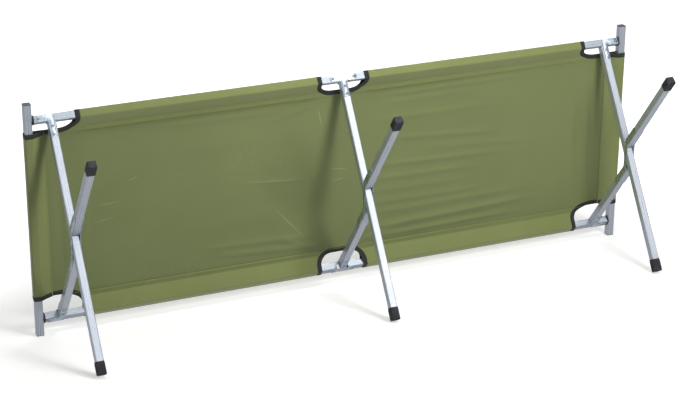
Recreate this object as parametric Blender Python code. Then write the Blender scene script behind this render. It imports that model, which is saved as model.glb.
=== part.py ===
"""Folding camp bed: two crossed sides of aluminium tube that close like scissors, under one stretched cloth.

Metres. +X runs along the bed, +Z is up, and the origin is on the floor under the middle of the bed. Side A
has the straight legs and its rail is at -Y. Side B has the split legs and its rail is at +Y. Each side has
its own frame, with its origin on the scissor axis and Z running up the legs, so that the plates that join
legs and rails lie flat across its Y.
"""

import math
from dataclasses import dataclass

import bmesh
import bpy
from mathutils import Matrix, Vector

# Overall
LENGTH = 1.900
RAIL_SPACING = 0.600
BAR_OVERHANG = 0.050
LEG_ANGLE = math.radians(33.1)
FOOT_REACH = 0.365
END_LEG_INSET = 0.077

# Square tube
TUBE = 0.022
TUBE_WALL = 0.0015
TUBE_CORNER = 0.0025

# Rails, their end plugs and the studs that carry the end bars
PLUG_SIZE = 0.024
PLUG_FLANGE = 0.005
PLUG_DEPTH = 0.020
STUD_DIAMETER = 0.010
STUD_LENGTH = 0.014
MIDDLE_RIVET_X = 0.033
RAIL_PAST_RIVET = 0.014

# End bar plugs
BAR_PLUG_FACE = 0.0015
BAR_PLUG_DEPTH = 0.012

# L and T plates, in the plane of rail and leg
PLATE_THICKNESS = 0.0015
RAIL_ARM_WIDTH = 0.018
LEG_ARM_WIDTH = 0.017
T_LEG_ARM_WIDTH = 0.019
PLATE_END_GAP = 0.0017
PLATE_CORNER = 0.004
PLATE_FILLET = 0.008
UPPER_LEG_RIVET = 0.025
LOWER_LEG_RIVET = 0.049
PLATE_TAIL = 0.008

# Elbow plates, which carry the two halves of a split leg past the straight leg
ELBOW_OFFSET = 0.025
ELBOW_WIDTH = 0.020
ELBOW_THICKNESS = 0.002
ELBOW_NEAR_RIVET = 0.036
ELBOW_FAR_RIVET = 0.102
LEG_PASSING_GAP = 0.0015

# Rivets
RIVET_SHANK = 0.0050
RIVET_HEAD = 0.0085
RIVET_HEAD_HEIGHT = 0.0014
PIVOT_SHANK = 0.0080
PIVOT_HEAD = 0.0130
PIVOT_HEAD_HEIGHT = 0.0020

# Foot caps
CAP_SIZE = 0.026
CAP_LENGTH = 0.038
CAP_FLOOR = 0.004
CAP_ROUNDING = 0.0035
CAP_END_ROUNDING = 0.0030
CAP_TAPER = 0.0006
FOOT_FLAT = 0.005

# Cloth
CLOTH = 0.0012
CLOTH_GAP = 0.0004
END_HEM = 0.070
PANEL_SHORT_OF_BAR = 0.013
CORNER_CUT_INSET = 0.144
MIDDLE_CUT_HALF = 0.068

# Cloth sizes that differ between the two sides
SIDE_HEM = {"a": 0.053, "b": 0.058}
END_SLEEVE_REACH = {"a": 0.261, "b": 0.240}
CORNER_CUT_ROUND = {"a": (0.048, 0.028), "b": (0.060, 0.038)}
MIDDLE_CUT_DEPTH = {"a": 0.040, "b": 0.047}
MIDDLE_CUT_ROUND = {"a": (0.038, 0.028), "b": (0.042, 0.034)}

# Fits and fineness
CLEARANCE = 0.0003
CORNER_STEPS = 3
RIVET_SIDES = 8
PIVOT_SIDES = 14
CURVE_STEPS = 8
SHARP_ANGLE = math.radians(35)

# Places worked out from the sizes above
HALF = TUBE / 2
RAIL_Y = RAIL_SPACING / 2
BAR_LENGTH = RAIL_SPACING + 2 * BAR_OVERHANG
RAIL_REACH = RAIL_Y / math.cos(LEG_ANGLE)
SPLIT_ANGLE = LEG_ANGLE + math.asin(ELBOW_OFFSET / RAIL_REACH)
FLAT_CUT_A = FOOT_FLAT * math.sin(LEG_ANGLE) * math.cos(LEG_ANGLE)
FLAT_CUT_B = FOOT_FLAT * math.sin(SPLIT_ANGLE) * math.cos(SPLIT_ANGLE)
PIVOT_Z = FOOT_REACH * math.sin(LEG_ANGLE) + CAP_SIZE / 2 * math.cos(LEG_ANGLE) - FLAT_CUT_A
RAIL_Z = PIVOT_Z + RAIL_REACH * math.sin(LEG_ANGLE)
BAR_INNER_X = LENGTH / 2 - TUBE
RAIL_END_X = BAR_INNER_X - CLEARANCE - PLUG_FLANGE
END_LEG_X = LENGTH / 2 - END_LEG_INSET
END_RIVET_X = RAIL_END_X - PLATE_END_GAP - RAIL_ARM_WIDTH / 2
PLATE_INNER = HALF + CLEARANCE
PLATE_OUTER = PLATE_INNER + PLATE_THICKNESS
ELBOW_INNER = HALF + CLEARANCE
ELBOW_OUTER = ELBOW_INNER + ELBOW_THICKNESS
LEG_TOP = HALF + CLEARANCE
CLOTH_UNDER_Z = RAIL_Z + HALF + CLOTH_GAP - CLEARANCE - CLOTH

LEGS = {"left": -END_LEG_X, "middle": 0.0, "right": END_LEG_X}


@dataclass(frozen=True)
class Side:
    """One rigid side of the scissors, in its own frame."""

    name: str
    frame: Matrix
    body: str
    rail_y: float
    rail_z: float
    foot_y: float
    foot_z: float


def side_frames():
    """Side A and side B, each with Z up its legs and its origin on the scissor axis."""
    pivot = Matrix.Translation((0, 0, PIVOT_Z))
    crossing = math.sqrt(RAIL_REACH**2 - ELBOW_OFFSET**2)
    split_foot = (PIVOT_Z + (ELBOW_OFFSET - CAP_SIZE / 2) * math.cos(SPLIT_ANGLE) + FLAT_CUT_B) / math.sin(
        SPLIT_ANGLE
    )
    turn_a = Matrix.Rotation(math.pi / 2 - LEG_ANGLE, 4, "X")
    turn_b = Matrix.Rotation(SPLIT_ANGLE - math.pi / 2, 4, "X")
    return (
        Side("a", pivot @ turn_a, "frame_a", 0.0, RAIL_REACH, 0.0, -FOOT_REACH),
        Side("b", pivot @ turn_b, "frame_b", ELBOW_OFFSET, crossing, -ELBOW_OFFSET, -split_foot),
    )


def clear_scene():
    for obj in list(bpy.data.objects):
        bpy.data.objects.remove(obj)


def material(name, colour, roughness, metallic):
    made = bpy.data.materials.new(name)
    made.use_nodes = True
    shader = made.node_tree.nodes["Principled BSDF"]
    shader.inputs["Base Color"].default_value = (*colour, 1.0)
    shader.inputs["Roughness"].default_value = roughness
    shader.inputs["Metallic"].default_value = metallic
    made.diffuse_color = (*colour, 1.0)
    return made


def arc(centre, radius_x, radius_y, start, end, steps=CORNER_STEPS):
    """Points round an ellipse, angles in degrees."""
    angles = (math.radians(start + (end - start) * i / steps) for i in range(steps + 1))
    return [(centre[0] + radius_x * math.cos(a), centre[1] + radius_y * math.sin(a)) for a in angles]


def rounded_square(half, radius):
    """A square about the origin with rounded corners, anticlockwise."""
    points = []
    for quarter in range(4):
        middle = math.radians(45 + 90 * quarter)
        corner = (half - radius) * math.sqrt(2)
        centre = (corner * math.cos(middle), corner * math.sin(middle))
        points += arc(centre, radius, radius, 90 * quarter, 90 * quarter + 90)
    return points


def offset_path(points, distance):
    """The open path moved to its left by a distance, with mitred turns."""
    moved = []
    for i, point in enumerate(points):
        normals = []
        for a, b in ((i - 1, i), (i, i + 1)):
            if a < 0 or b >= len(points):
                continue
            run = (Vector(points[b]) - Vector(points[a])).normalized()
            normals.append(Vector((-run.y, run.x)))
        middle = sum(normals, Vector((0, 0))).normalized()
        moved.append(tuple(Vector(point) + middle * (distance / middle.dot(normals[0]))))
    return moved


def offset_loop(points, distance):
    """The closed anticlockwise outline grown outwards by a distance."""
    grown = offset_path([points[-1], *points, points[0]], -distance)
    return grown[1:-1]


def convex_hull(points):
    """The convex outline round some points, anticlockwise."""
    ordered = sorted(points)

    def half_hull(run):
        hull = []
        for point in run:
            while len(hull) > 1:
                a, b = Vector(hull[-1]) - Vector(hull[-2]), Vector(point) - Vector(hull[-1])
                if a.x * b.y - a.y * b.x > 0:
                    break
                hull.pop()
            hull.append(point)
        return hull[:-1]

    return half_hull(ordered) + half_hull(ordered[::-1])


def loft(rings):
    """A closed solid through rings of equal point counts, with flat ends."""
    shape = bmesh.new()
    loops = [[shape.verts.new(point) for point in ring] for ring in rings]
    for low, high in zip(loops, loops[1:]):
        for i in range(len(low)):
            j = (i + 1) % len(low)
            shape.faces.new((low[i], low[j], high[j], high[i]))
    shape.faces.new(loops[0][::-1])
    shape.faces.new(loops[-1])
    bmesh.ops.recalc_face_normals(shape, faces=shape.faces[:])
    return solid(shape)


def prism(outline, low, high):
    """A flat outline in XY, extruded from z = low to z = high."""
    return loft([[(x, y, z) for x, y in outline] for z in (low, high)])


def box(low, high):
    corners = [(low[0], low[1]), (high[0], low[1]), (high[0], high[1]), (low[0], high[1])]
    return prism(corners, low[2], high[2])


def turned(profile, sides):
    """A solid turned about Z from (radius, z) points; the first and last radius are zero."""
    shape = bmesh.new()
    bottom = shape.verts.new((0, 0, profile[0][1]))
    top = shape.verts.new((0, 0, profile[-1][1]))
    rings = []
    for radius, z in profile[1:-1]:
        turns = (2 * math.pi * i / sides for i in range(sides))
        rings.append([shape.verts.new((radius * math.cos(t), radius * math.sin(t), z)) for t in turns])
    for i in range(sides):
        j = (i + 1) % sides
        shape.faces.new((bottom, rings[0][j], rings[0][i]))
        shape.faces.new((top, rings[-1][i], rings[-1][j]))
        for low, high in zip(rings, rings[1:]):
            shape.faces.new((low[i], low[j], high[j], high[i]))
    bmesh.ops.recalc_face_normals(shape, faces=shape.faces[:])
    return solid(shape)


def cylinder(radius, low, high, sides):
    return turned([(0, low), (radius, low), (radius, high), (0, high)], sides)


def rivet_head(diameter, height, base):
    """A low dome on z = 0 that sinks a little below it, so that it joins the plate under it."""
    radius = diameter / 2
    return turned([(0, -base), (radius, -base), (radius, 0), (0.7 * radius, 0.8 * height), (0, height)], RIVET_SIDES)


def square_tube(length):
    """A hollow tube along Z from z = 0, open at both ends."""
    inner = rounded_square(HALF - TUBE_WALL, max(TUBE_CORNER - TUBE_WALL, CLEARANCE))
    body = prism(rounded_square(HALF, TUBE_CORNER), 0, length)
    return combine(body, "DIFFERENCE", prism(inner, -TUBE, length + TUBE))


def solid(shape):
    """A mesh object at the origin holding the shape."""
    mesh = bpy.data.meshes.new("shape")
    shape.to_mesh(mesh)
    shape.free()
    obj = bpy.data.objects.new("shape", mesh)
    bpy.context.scene.collection.objects.link(obj)
    return obj


def moved(obj, *steps):
    """Moves the mesh itself, so that the object stays at the origin."""
    for step in steps:
        obj.data.transform(step)
    return obj


def combine(body, operation, *tools):
    """The body with each tool cut away or joined on, as plain mesh."""
    for tool in tools:
        change = body.modifiers.new("change", "BOOLEAN")
        change.operation = operation
        change.solver = "EXACT"
        change.object = tool
        bpy.context.view_layer.update()
        graph = bpy.context.evaluated_depsgraph_get()
        result = bpy.data.meshes.new_from_object(body.evaluated_get(graph))
        body.modifiers.remove(change)
        body.data = result
        bpy.data.objects.remove(tool)
    return body


def shift(x=0.0, y=0.0, z=0.0):
    return Matrix.Translation((x, y, z))


ALONG_X = Matrix.Rotation(math.pi / 2, 4, "Y")
ALONG_Y = Matrix.Rotation(-math.pi / 2, 4, "X")
ACROSS_Y = Matrix.Rotation(math.pi / 2, 4, "X")


class Bed:
    """Holds the bodies and the materials, and names each finished piece."""

    def __init__(self):
        self.aluminium = material("satin_aluminium", (0.62, 0.64, 0.67), 0.38, 1.0)
        self.zinc = material("zinc_plated_steel", (0.66, 0.70, 0.74), 0.30, 1.0)
        self.plastic = material("black_plastic", (0.030, 0.031, 0.033), 0.55, 0.0)
        self.cloth = material("olive_cloth", (0.155, 0.185, 0.075), 0.85, 0.0)
        origins = {
            "frame_a": (0, 0, 0),
            "frame_b": (0, 0, PIVOT_Z),
            "end_bar_left": (-LENGTH / 2 + HALF, 0, RAIL_Z),
            "end_bar_right": (LENGTH / 2 - HALF, 0, RAIL_Z),
        }
        self.bodies = {}
        for name, place in origins.items():
            body = bpy.data.objects.new(name + "_axis", None)
            body.location = place
            bpy.context.scene.collection.objects.link(body)
            self.bodies[name] = body
        bpy.context.view_layer.update()

    def add(self, obj, name, body, look, frame=None):
        """Names a piece, gives it its material and hangs it on its body at its place."""
        parent = self.bodies[body]
        place = frame if frame is not None else Matrix.Identity(4)
        obj.name = name
        obj.data.name = name
        obj.data.materials.clear()
        obj.data.materials.append(look)
        obj.data.shade_smooth()
        obj.data.set_sharp_from_angle(angle=SHARP_ANGLE)
        obj.parent = parent
        obj.matrix_parent_inverse = parent.matrix_world.inverted()
        obj.matrix_basis = place
        return obj


def rivet_hole(diameter, x, z, y=0.0):
    """A cutter for a rivet that runs across a tube's Y faces."""
    reach = TUBE + PLATE_THICKNESS
    cutter = cylinder(diameter / 2 + CLEARANCE, -reach, reach, PIVOT_SIDES)
    return moved(cutter, ALONG_Y, shift(x, y, z))


def make_rail(bed, side, end, sign):
    """Half a side rail, from its middle rivet to its plug."""
    inner = MIDDLE_RIVET_X - RAIL_PAST_RIVET
    rail = moved(square_tube(RAIL_END_X - inner), ALONG_X, shift(inner, side.rail_y, side.rail_z))
    combine(
        rail,
        "DIFFERENCE",
        rivet_hole(RIVET_SHANK, END_RIVET_X, side.rail_z, side.rail_y),
        rivet_hole(RIVET_SHANK, MIDDLE_RIVET_X, side.rail_z, side.rail_y),
    )
    turn_to_end(rail, sign)
    bed.add(rail, f"rail_{side.name}_{end}", side.body, bed.aluminium, side.frame)


def turn_to_end(obj, sign):
    """Puts a piece made for the right end at the left one, by mirroring its mesh in X."""
    if sign > 0:
        return
    obj.data.transform(Matrix.Scale(-1, 4, (1, 0, 0)))
    obj.data.flip_normals()


def make_rail_plug(bed, side, end, sign):
    """The plastic plug in a rail's outer end. Side A's holds the stud that the end bar slides onto."""
    fit = HALF - TUBE_WALL - CLEARANCE
    flange = prism(rounded_square(PLUG_SIZE / 2, TUBE_CORNER), 0, PLUG_FLANGE)
    sunk = prism(rounded_square(fit, TUBE_CORNER - TUBE_WALL), -PLUG_DEPTH, PLUG_FLANGE / 2)
    plug = combine(flange, "UNION", sunk)
    if side.name == "a":
        combine(plug, "UNION", cylinder(STUD_DIAMETER / 2, 0, PLUG_FLANGE + STUD_LENGTH, PIVOT_SIDES))
    moved(plug, ALONG_X, shift(RAIL_END_X, side.rail_y, side.rail_z))
    combine(plug, "DIFFERENCE", rivet_hole(RIVET_SHANK, END_RIVET_X, side.rail_z, side.rail_y))
    turn_to_end(plug, sign)
    bed.add(plug, f"rail_plug_{side.name}_{end}", side.body, bed.plastic, side.frame)


def plate_outline(left, right, low, high):
    """A plate in XZ about a leg's top: rail arms reach to rivets at -left and right, 0 for none, and the
    leg arm runs down between x = low and x = high."""
    half, corner, fillet = RAIL_ARM_WIDTH / 2, PLATE_CORNER, PLATE_FILLET
    bottom = -(LOWER_LEG_RIVET + PLATE_TAIL)
    points = []
    if right:
        points += arc((right, 0), half, half, -90, 90, CURVE_STEPS)
    else:
        points += arc((high - corner, half - corner), corner, corner, 0, 90)
    if left:
        points += arc((-left, 0), half, half, 90, 270, CURVE_STEPS)
        points += arc((low - fillet, -half - fillet), fillet, fillet, 90, 0)
    else:
        points += arc((low + corner, half - corner), corner, corner, 90, 180)
    points += arc((low + corner, bottom + corner), corner, corner, 180, 270)
    points += arc((high - corner, bottom + corner), corner, corner, 270, 360)
    if right:
        points += arc((high + fillet, -half - fillet), fillet, fillet, 180, 90)
    return points


def flat_plate(outline, leg_rivet_x, face):
    """The outline as a plate on the tubes' face = +1 or -1, with the heads of its two leg rivets."""
    plate = prism(outline, 0, PLATE_THICKNESS)
    base = PLATE_THICKNESS / 2
    for depth in (UPPER_LEG_RIVET, LOWER_LEG_RIVET):
        head = rivet_head(RIVET_HEAD, RIVET_HEAD_HEIGHT, base)
        combine(plate, "UNION", moved(head, shift(leg_rivet_x, -depth, PLATE_THICKNESS)))
    moved(plate, ACROSS_Y)
    if face > 0:
        moved(plate, Matrix.Scale(-1, 4, (0, 1, 0)))
        plate.data.flip_normals()
    return moved(plate, shift(y=face * PLATE_INNER))


def plate_faces():
    return (("top", 1), ("under", -1))


def face_sign(side, face):
    """Side A's +Y face is the one under the cloth, and side B's is the one turned down."""
    return face if side.name == "a" else -face


def make_end_plates(bed, side, end, sign):
    """The pair of L plates that join an end leg's top to its rail, near the rail's end."""
    outer = HALF
    inner = outer - LEG_ARM_WIDTH
    outline = plate_outline(0, END_RIVET_X - END_LEG_X, inner, outer)
    for word, face in plate_faces():
        plate = flat_plate(outline, (inner + outer) / 2, face_sign(side, face))
        moved(plate, shift(END_LEG_X, side.rail_y, side.rail_z))
        combine(plate, "DIFFERENCE", rivet_hole(RIVET_SHANK, END_RIVET_X, side.rail_z, side.rail_y))
        turn_to_end(plate, sign)
        bed.add(plate, f"l_plate_{side.name}_{end}_{word}", side.body, bed.zinc, side.frame)
    rivet = through_rivet(RIVET_SHANK, RIVET_HEAD, RIVET_HEAD_HEIGHT, PLATE_OUTER + CLEARANCE)
    moved(rivet, ALONG_Y, shift(sign * END_RIVET_X, side.rail_y, side.rail_z))
    bed.add(rivet, f"end_rivet_{side.name}_{end}", side.body, bed.zinc, side.frame)


def through_rivet(shank, head, height, seat):
    """A rivet along Z with a domed head past z = seat at each end."""
    dome = [(head / 2, seat), (0.35 * head, seat + 0.8 * height), (0, seat + height)]
    half = [(shank / 2, 0), (shank / 2, seat), *dome]
    lower = [(radius, -z) for radius, z in half[:0:-1]]
    return turned(lower + half[1:], PIVOT_SIDES)


def make_middle_plates(bed, side):
    """The pair of T plates that carry both half rails on the middle leg. The lower one holds the two
    rivets that the half rails fold about."""
    half_arm = T_LEG_ARM_WIDTH / 2
    outline = plate_outline(MIDDLE_RIVET_X, MIDDLE_RIVET_X, -half_arm, half_arm)
    for word, face in plate_faces():
        turned_face = face_sign(side, face)
        plate = moved(flat_plate(outline, 0, turned_face), shift(0, side.rail_y, side.rail_z))
        for x in (-MIDDLE_RIVET_X, MIDDLE_RIVET_X):
            if word == "top":
                combine(plate, "DIFFERENCE", rivet_hole(RIVET_SHANK, x, side.rail_z, side.rail_y))
            else:
                rivet = through_rivet(RIVET_SHANK, RIVET_HEAD, RIVET_HEAD_HEIGHT, PLATE_OUTER)
                tight = moved(rivet, ALONG_Y, shift(x, side.rail_y - turned_face * CLEARANCE, side.rail_z))
                combine(plate, "UNION", tight)
        bed.add(plate, f"t_plate_{side.name}_{word}", side.body, bed.zinc, side.frame)


def make_leg_tube(bed, side, name, x, y, low, high, pivot):
    """A leg tube between two heights of its side's frame, with a hole where the scissor rivet passes."""
    tube = moved(square_tube(high - low), shift(0, y, low))
    if pivot:
        hole = cylinder(PIVOT_SHANK / 2 + CLEARANCE, -TUBE, TUBE, PIVOT_SIDES)
        combine(tube, "DIFFERENCE", moved(hole, ALONG_X))
    bed.add(moved(tube, shift(x)), name, side.body, bed.aluminium, side.frame)


def make_foot_cap(bed, side, leg, x):
    """A plastic cap over a leg's end. The corner it stands on is cut flat along the floor."""
    half = CAP_SIZE / 2
    rings = [(CAP_LENGTH, CAP_TAPER), (CAP_LENGTH - CAP_TAPER, 0)]
    edge = arc((0, 0), CAP_END_ROUNDING, CAP_END_ROUNDING, 0, 90)
    rings += [(CAP_END_ROUNDING - depth, CAP_TAPER + CAP_END_ROUNDING - out) for out, depth in edge]
    rings = [[(x, y, z) for x, y in rounded_square(half - in_by, CAP_ROUNDING)] for z, in_by in rings]
    cap = loft(rings)
    socket = prism(rounded_square(HALF + CLEARANCE, TUBE_CORNER + CLEARANCE), CAP_FLOOR, CAP_LENGTH + TUBE)
    combine(cap, "DIFFERENCE", socket)
    moved(cap, shift(x, side.foot_y, side.foot_z))
    wide = 2 * LENGTH
    floor = moved(box((-wide, -wide, -wide), (wide, wide, 0)), side.frame.inverted())
    combine(cap, "DIFFERENCE", floor)
    bed.add(cap, f"foot_cap_{side.name}_{leg}", side.body, bed.plastic, side.frame)


def make_straight_leg(bed, side, leg, x):
    low = side.foot_z + CAP_FLOOR + CLEARANCE
    make_leg_tube(bed, side, f"straight_leg_{leg}", x, 0, low, side.rail_z - LEG_TOP, True)


def make_split_leg(bed, side, leg, x):
    """The two tubes of a split leg, which end just clear of the straight leg that crosses between them."""
    crossing = LEG_ANGLE + SPLIT_ANGLE
    edge = ELBOW_OFFSET + HALF
    start = edge / math.tan(crossing) + HALF / math.sin(crossing) + LEG_PASSING_GAP
    low = side.foot_z + CAP_FLOOR + CLEARANCE
    make_leg_tube(bed, side, f"split_leg_upper_{leg}", x, side.rail_y, start, side.rail_z - LEG_TOP, False)
    make_leg_tube(bed, side, f"split_leg_lower_{leg}", x, side.foot_y, low, -start, False)


def elbow_outline():
    """The bent plate in its side's YZ plane: two arms along the tubes and a slant through the pivot."""
    half = ELBOW_WIDTH / 2
    spine = [
        (-ELBOW_OFFSET, -ELBOW_FAR_RIVET),
        (-ELBOW_OFFSET, -ELBOW_NEAR_RIVET),
        (ELBOW_OFFSET, ELBOW_NEAR_RIVET),
        (ELBOW_OFFSET, ELBOW_FAR_RIVET),
    ]
    right, left = offset_path(spine, -half), offset_path(spine, half)
    top = arc(spine[-1], half, half, 0, 180, CURVE_STEPS)
    bottom = arc(spine[0], half, half, 180, 360, CURVE_STEPS)
    return right[1:-1] + top + left[-2:0:-1] + bottom


def make_elbow(bed, side, leg, x, number, face):
    """One of the pair of bent plates on a split leg's X faces, with the heads of its four rivets."""
    plate = prism(elbow_outline(), 0, ELBOW_THICKNESS)
    for along in (ELBOW_NEAR_RIVET, ELBOW_FAR_RIVET):
        for end in (-1, 1):
            head = rivet_head(RIVET_HEAD, RIVET_HEAD_HEIGHT, ELBOW_THICKNESS / 2)
            place = shift(end * ELBOW_OFFSET, end * along, ELBOW_THICKNESS)
            combine(plate, "UNION", moved(head, place))
    hole = cylinder(PIVOT_SHANK / 2 + CLEARANCE, -TUBE, TUBE, PIVOT_SIDES)
    combine(plate, "DIFFERENCE", hole)
    stand = Matrix(((0, 0, 1, 0), (1, 0, 0, 0), (0, 1, 0, 0), (0, 0, 0, 1)))
    moved(plate, stand, shift(x=ELBOW_INNER))
    turn_to_end(plate, face)
    moved(plate, shift(x))
    bed.add(plate, f"elbow_plate_{leg}_{number}", side.body, bed.zinc, side.frame)


def make_scissor_rivet(bed, side, leg, x):
    rivet = through_rivet(PIVOT_SHANK, PIVOT_HEAD, PIVOT_HEAD_HEIGHT, ELBOW_OUTER + CLEARANCE)
    bed.add(moved(rivet, ALONG_X, shift(x)), f"scissor_rivet_{leg}", side.body, bed.zinc, side.frame)


def make_end_bar(bed, end, sign):
    """The square tube across one end, with holes for the rails' studs, and its two plugs."""
    body = f"end_bar_{end}"
    x = LENGTH / 2 - HALF
    half_tube = BAR_LENGTH / 2 - BAR_PLUG_FACE
    bar = moved(square_tube(2 * half_tube), ALONG_Y, shift(0, -half_tube, 0))
    for y in (-RAIL_Y, RAIL_Y):
        hole = cylinder(STUD_DIAMETER / 2 + CLEARANCE, -TUBE, 0, PIVOT_SIDES)
        combine(bar, "DIFFERENCE", moved(hole, ALONG_X, shift(0, y, 0)))
    moved(bar, shift(x, 0, RAIL_Z))
    turn_to_end(bar, sign)
    bed.add(bar, body, body, bed.aluminium)
    for word, facing in (("a", -1), ("b", 1)):
        face = prism(rounded_square(HALF, TUBE_CORNER), CLEARANCE, BAR_PLUG_FACE)
        fit = rounded_square(HALF - TUBE_WALL - CLEARANCE, TUBE_CORNER - TUBE_WALL)
        plug = combine(face, "UNION", prism(fit, -BAR_PLUG_DEPTH, BAR_PLUG_FACE / 2))
        outward = ALONG_Y if facing > 0 else ACROSS_Y
        moved(plug, outward, shift(sign * x, facing * half_tube, RAIL_Z))
        bed.add(plug, f"bar_plug_{end}_{word}", body, bed.plastic)


def rail_sleeve_outline(side):
    """The space inside a side sleeve, in the world's YZ: round the rolled rail and in to the seam."""
    grown = HALF + CLOTH_GAP
    centre = side.frame @ Vector((0, side.rail_y, side.rail_z))
    corners = []
    for y in (-grown, grown):
        for z in (-grown, grown):
            corner = side.frame @ Vector((0, side.rail_y + y, side.rail_z + z))
            corners.append((corner.y, corner.z))
    seam_y = math.copysign(RAIL_Y - SIDE_HEM[side.name], centre.y)
    return convex_hull([*corners, (seam_y, CLOTH_UNDER_Z + CLOTH / 2)])


def cloth_cutters():
    """Upright prisms for the four rounded corner openings and the two at the middle leg."""
    far = RAIL_SPACING
    low, high = RAIL_Z - 2 * TUBE, RAIL_Z + 2 * TUBE
    start = LENGTH / 2 - CORNER_CUT_INSET
    cutters = []
    for side, flip_y in (("a", -1), ("b", 1)):
        rx, ry = CORNER_CUT_ROUND[side]
        inner = END_SLEEVE_REACH[side]
        curve = arc((start + rx, inner + ry), rx, ry, 180, 270, CURVE_STEPS)
        corner = [(start, far), *curve, (LENGTH, inner), (LENGTH, far)]
        mx, my = MIDDLE_CUT_ROUND[side]
        depth = RAIL_Y - MIDDLE_CUT_DEPTH[side]
        flat = MIDDLE_CUT_HALF - mx
        left = arc((-flat, depth + my), mx, my, 180, 270, CURVE_STEPS)
        right = arc((flat, depth + my), mx, my, 270, 360, CURVE_STEPS)
        middle = [(-MIDDLE_CUT_HALF, far), *left, *right, (MIDDLE_CUT_HALF, far)]
        cutters.append(prism([(x, flip_y * y) for x, y in middle], low, high))
        for flip_x in (1, -1):
            cutters.append(prism([(flip_x * x, flip_y * y) for x, y in corner], low, high))
    return cutters


def make_panel(bed, sides):
    """The cloth between the rails with its two side sleeves, open at the corners and at the middle."""
    reach = LENGTH / 2 - CORNER_CUT_INSET + CORNER_CUT_ROUND["b"][0]
    end = BAR_INNER_X - PANEL_SHORT_OF_BAR
    edge_a, edge_b = (RAIL_Y - SIDE_HEM[name] + CLOTH for name in ("a", "b"))
    edge_a = max(edge_a, END_SLEEVE_REACH["a"] + CLOTH)
    panel = box((-end, -edge_a, CLOTH_UNDER_Z), (end, edge_b, CLOTH_UNDER_Z + CLOTH))
    stand = Matrix(((0, 0, 1, 0), (1, 0, 0, 0), (0, 1, 0, 0), (0, 0, 0, 1)))
    hollows = []
    for side in sides:
        inner = rail_sleeve_outline(side)
        combine(panel, "UNION", moved(prism(offset_loop(inner, CLOTH), -reach, reach), stand))
        hollows.append(moved(prism(inner, -reach - CLOTH, reach + CLOTH), stand))
    combine(panel, "DIFFERENCE", *hollows, *cloth_cutters())
    bed.add(panel, "cloth_panel", "frame_a", bed.cloth)


def make_end_sleeve(bed, end, sign):
    """The cloth round an end bar: over it, down its outer face and back under to the seam, with the
    panel's end held between its two layers."""
    tip = LENGTH / 2 - END_HEM
    top = RAIL_Z + HALF + CLOTH_GAP
    bottom = RAIL_Z - HALF - CLOTH_GAP
    outer, inner = LENGTH / 2 + CLOTH_GAP, BAR_INNER_X - CLOTH_GAP
    path = [(tip, CLOTH_UNDER_Z - CLEARANCE), (inner, bottom), (outer, bottom), (outer, top), (tip, top)]
    outline = path + offset_path(path, -CLOTH)[::-1]
    sleeve = moved(prism(outline, -END_SLEEVE_REACH["b"], END_SLEEVE_REACH["a"]), ACROSS_Y)
    turn_to_end(sleeve, sign)
    bed.add(sleeve, f"end_sleeve_{end}", f"end_bar_{end}", bed.cloth)


def main():
    clear_scene()
    bed = Bed()
    straight, split = side_frames()
    for side in (straight, split):
        for end, sign in (("left", -1), ("right", 1)):
            make_rail(bed, side, end, sign)
            make_rail_plug(bed, side, end, sign)
            make_end_plates(bed, side, end, sign)
        make_middle_plates(bed, side)
        for leg, x in LEGS.items():
            make_foot_cap(bed, side, leg, x)
    for leg, x in LEGS.items():
        make_straight_leg(bed, straight, leg, x)
        make_scissor_rivet(bed, straight, leg, x)
        make_split_leg(bed, split, leg, x)
        for number, face in ((1, -1), (2, 1)):
            make_elbow(bed, split, leg, x, number, face)
    for end, sign in (("left", -1), ("right", 1)):
        make_end_bar(bed, end, sign)
        make_end_sleeve(bed, end, sign)
    make_panel(bed, (straight, split))
    bpy.context.view_layer.update()


if __name__ == "__main__":
    main()
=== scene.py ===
"""A folding camp bed, dressed for its portrait: satin tube, zinc-plated plates, moulded caps and olive cloth.

The bed stands on its feet, with X along it, Y across it and Z up. The photograph shows it laid on its long
side, seen from underneath, so the camera looks up at it and a second floor stands upright along its +Y side.
"""

import logging
import math
from collections.abc import Callable
from dataclasses import dataclass
from enum import Enum
from functools import partial

import bmesh
import bpy
import numpy as np
from mathutils import Matrix, Vector, noise

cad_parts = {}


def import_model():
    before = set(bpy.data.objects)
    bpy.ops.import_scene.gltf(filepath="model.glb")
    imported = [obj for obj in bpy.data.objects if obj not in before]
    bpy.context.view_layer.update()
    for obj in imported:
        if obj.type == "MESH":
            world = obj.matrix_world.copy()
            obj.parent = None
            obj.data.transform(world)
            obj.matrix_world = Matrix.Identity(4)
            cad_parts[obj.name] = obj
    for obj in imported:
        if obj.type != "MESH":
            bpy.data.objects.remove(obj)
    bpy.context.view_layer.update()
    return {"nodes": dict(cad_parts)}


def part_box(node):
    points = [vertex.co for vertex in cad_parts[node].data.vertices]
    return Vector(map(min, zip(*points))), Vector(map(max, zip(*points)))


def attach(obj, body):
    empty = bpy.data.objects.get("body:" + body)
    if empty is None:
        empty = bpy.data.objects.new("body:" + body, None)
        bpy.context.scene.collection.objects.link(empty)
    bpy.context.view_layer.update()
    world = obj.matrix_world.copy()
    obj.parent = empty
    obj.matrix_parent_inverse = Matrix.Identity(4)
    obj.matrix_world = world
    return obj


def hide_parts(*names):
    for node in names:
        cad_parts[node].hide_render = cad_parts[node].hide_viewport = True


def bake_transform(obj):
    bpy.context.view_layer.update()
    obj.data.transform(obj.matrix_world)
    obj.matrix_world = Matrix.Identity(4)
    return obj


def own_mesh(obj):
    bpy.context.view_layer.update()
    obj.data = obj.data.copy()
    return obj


log = logging.getLogger("camp_bed")

Pair = tuple[float, float]
Triple = tuple[float, float, float]
Piece = bpy.types.Object
Test = Callable[[Vector, Vector], bool]
Adder = Callable[..., bpy.types.Node]

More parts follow.
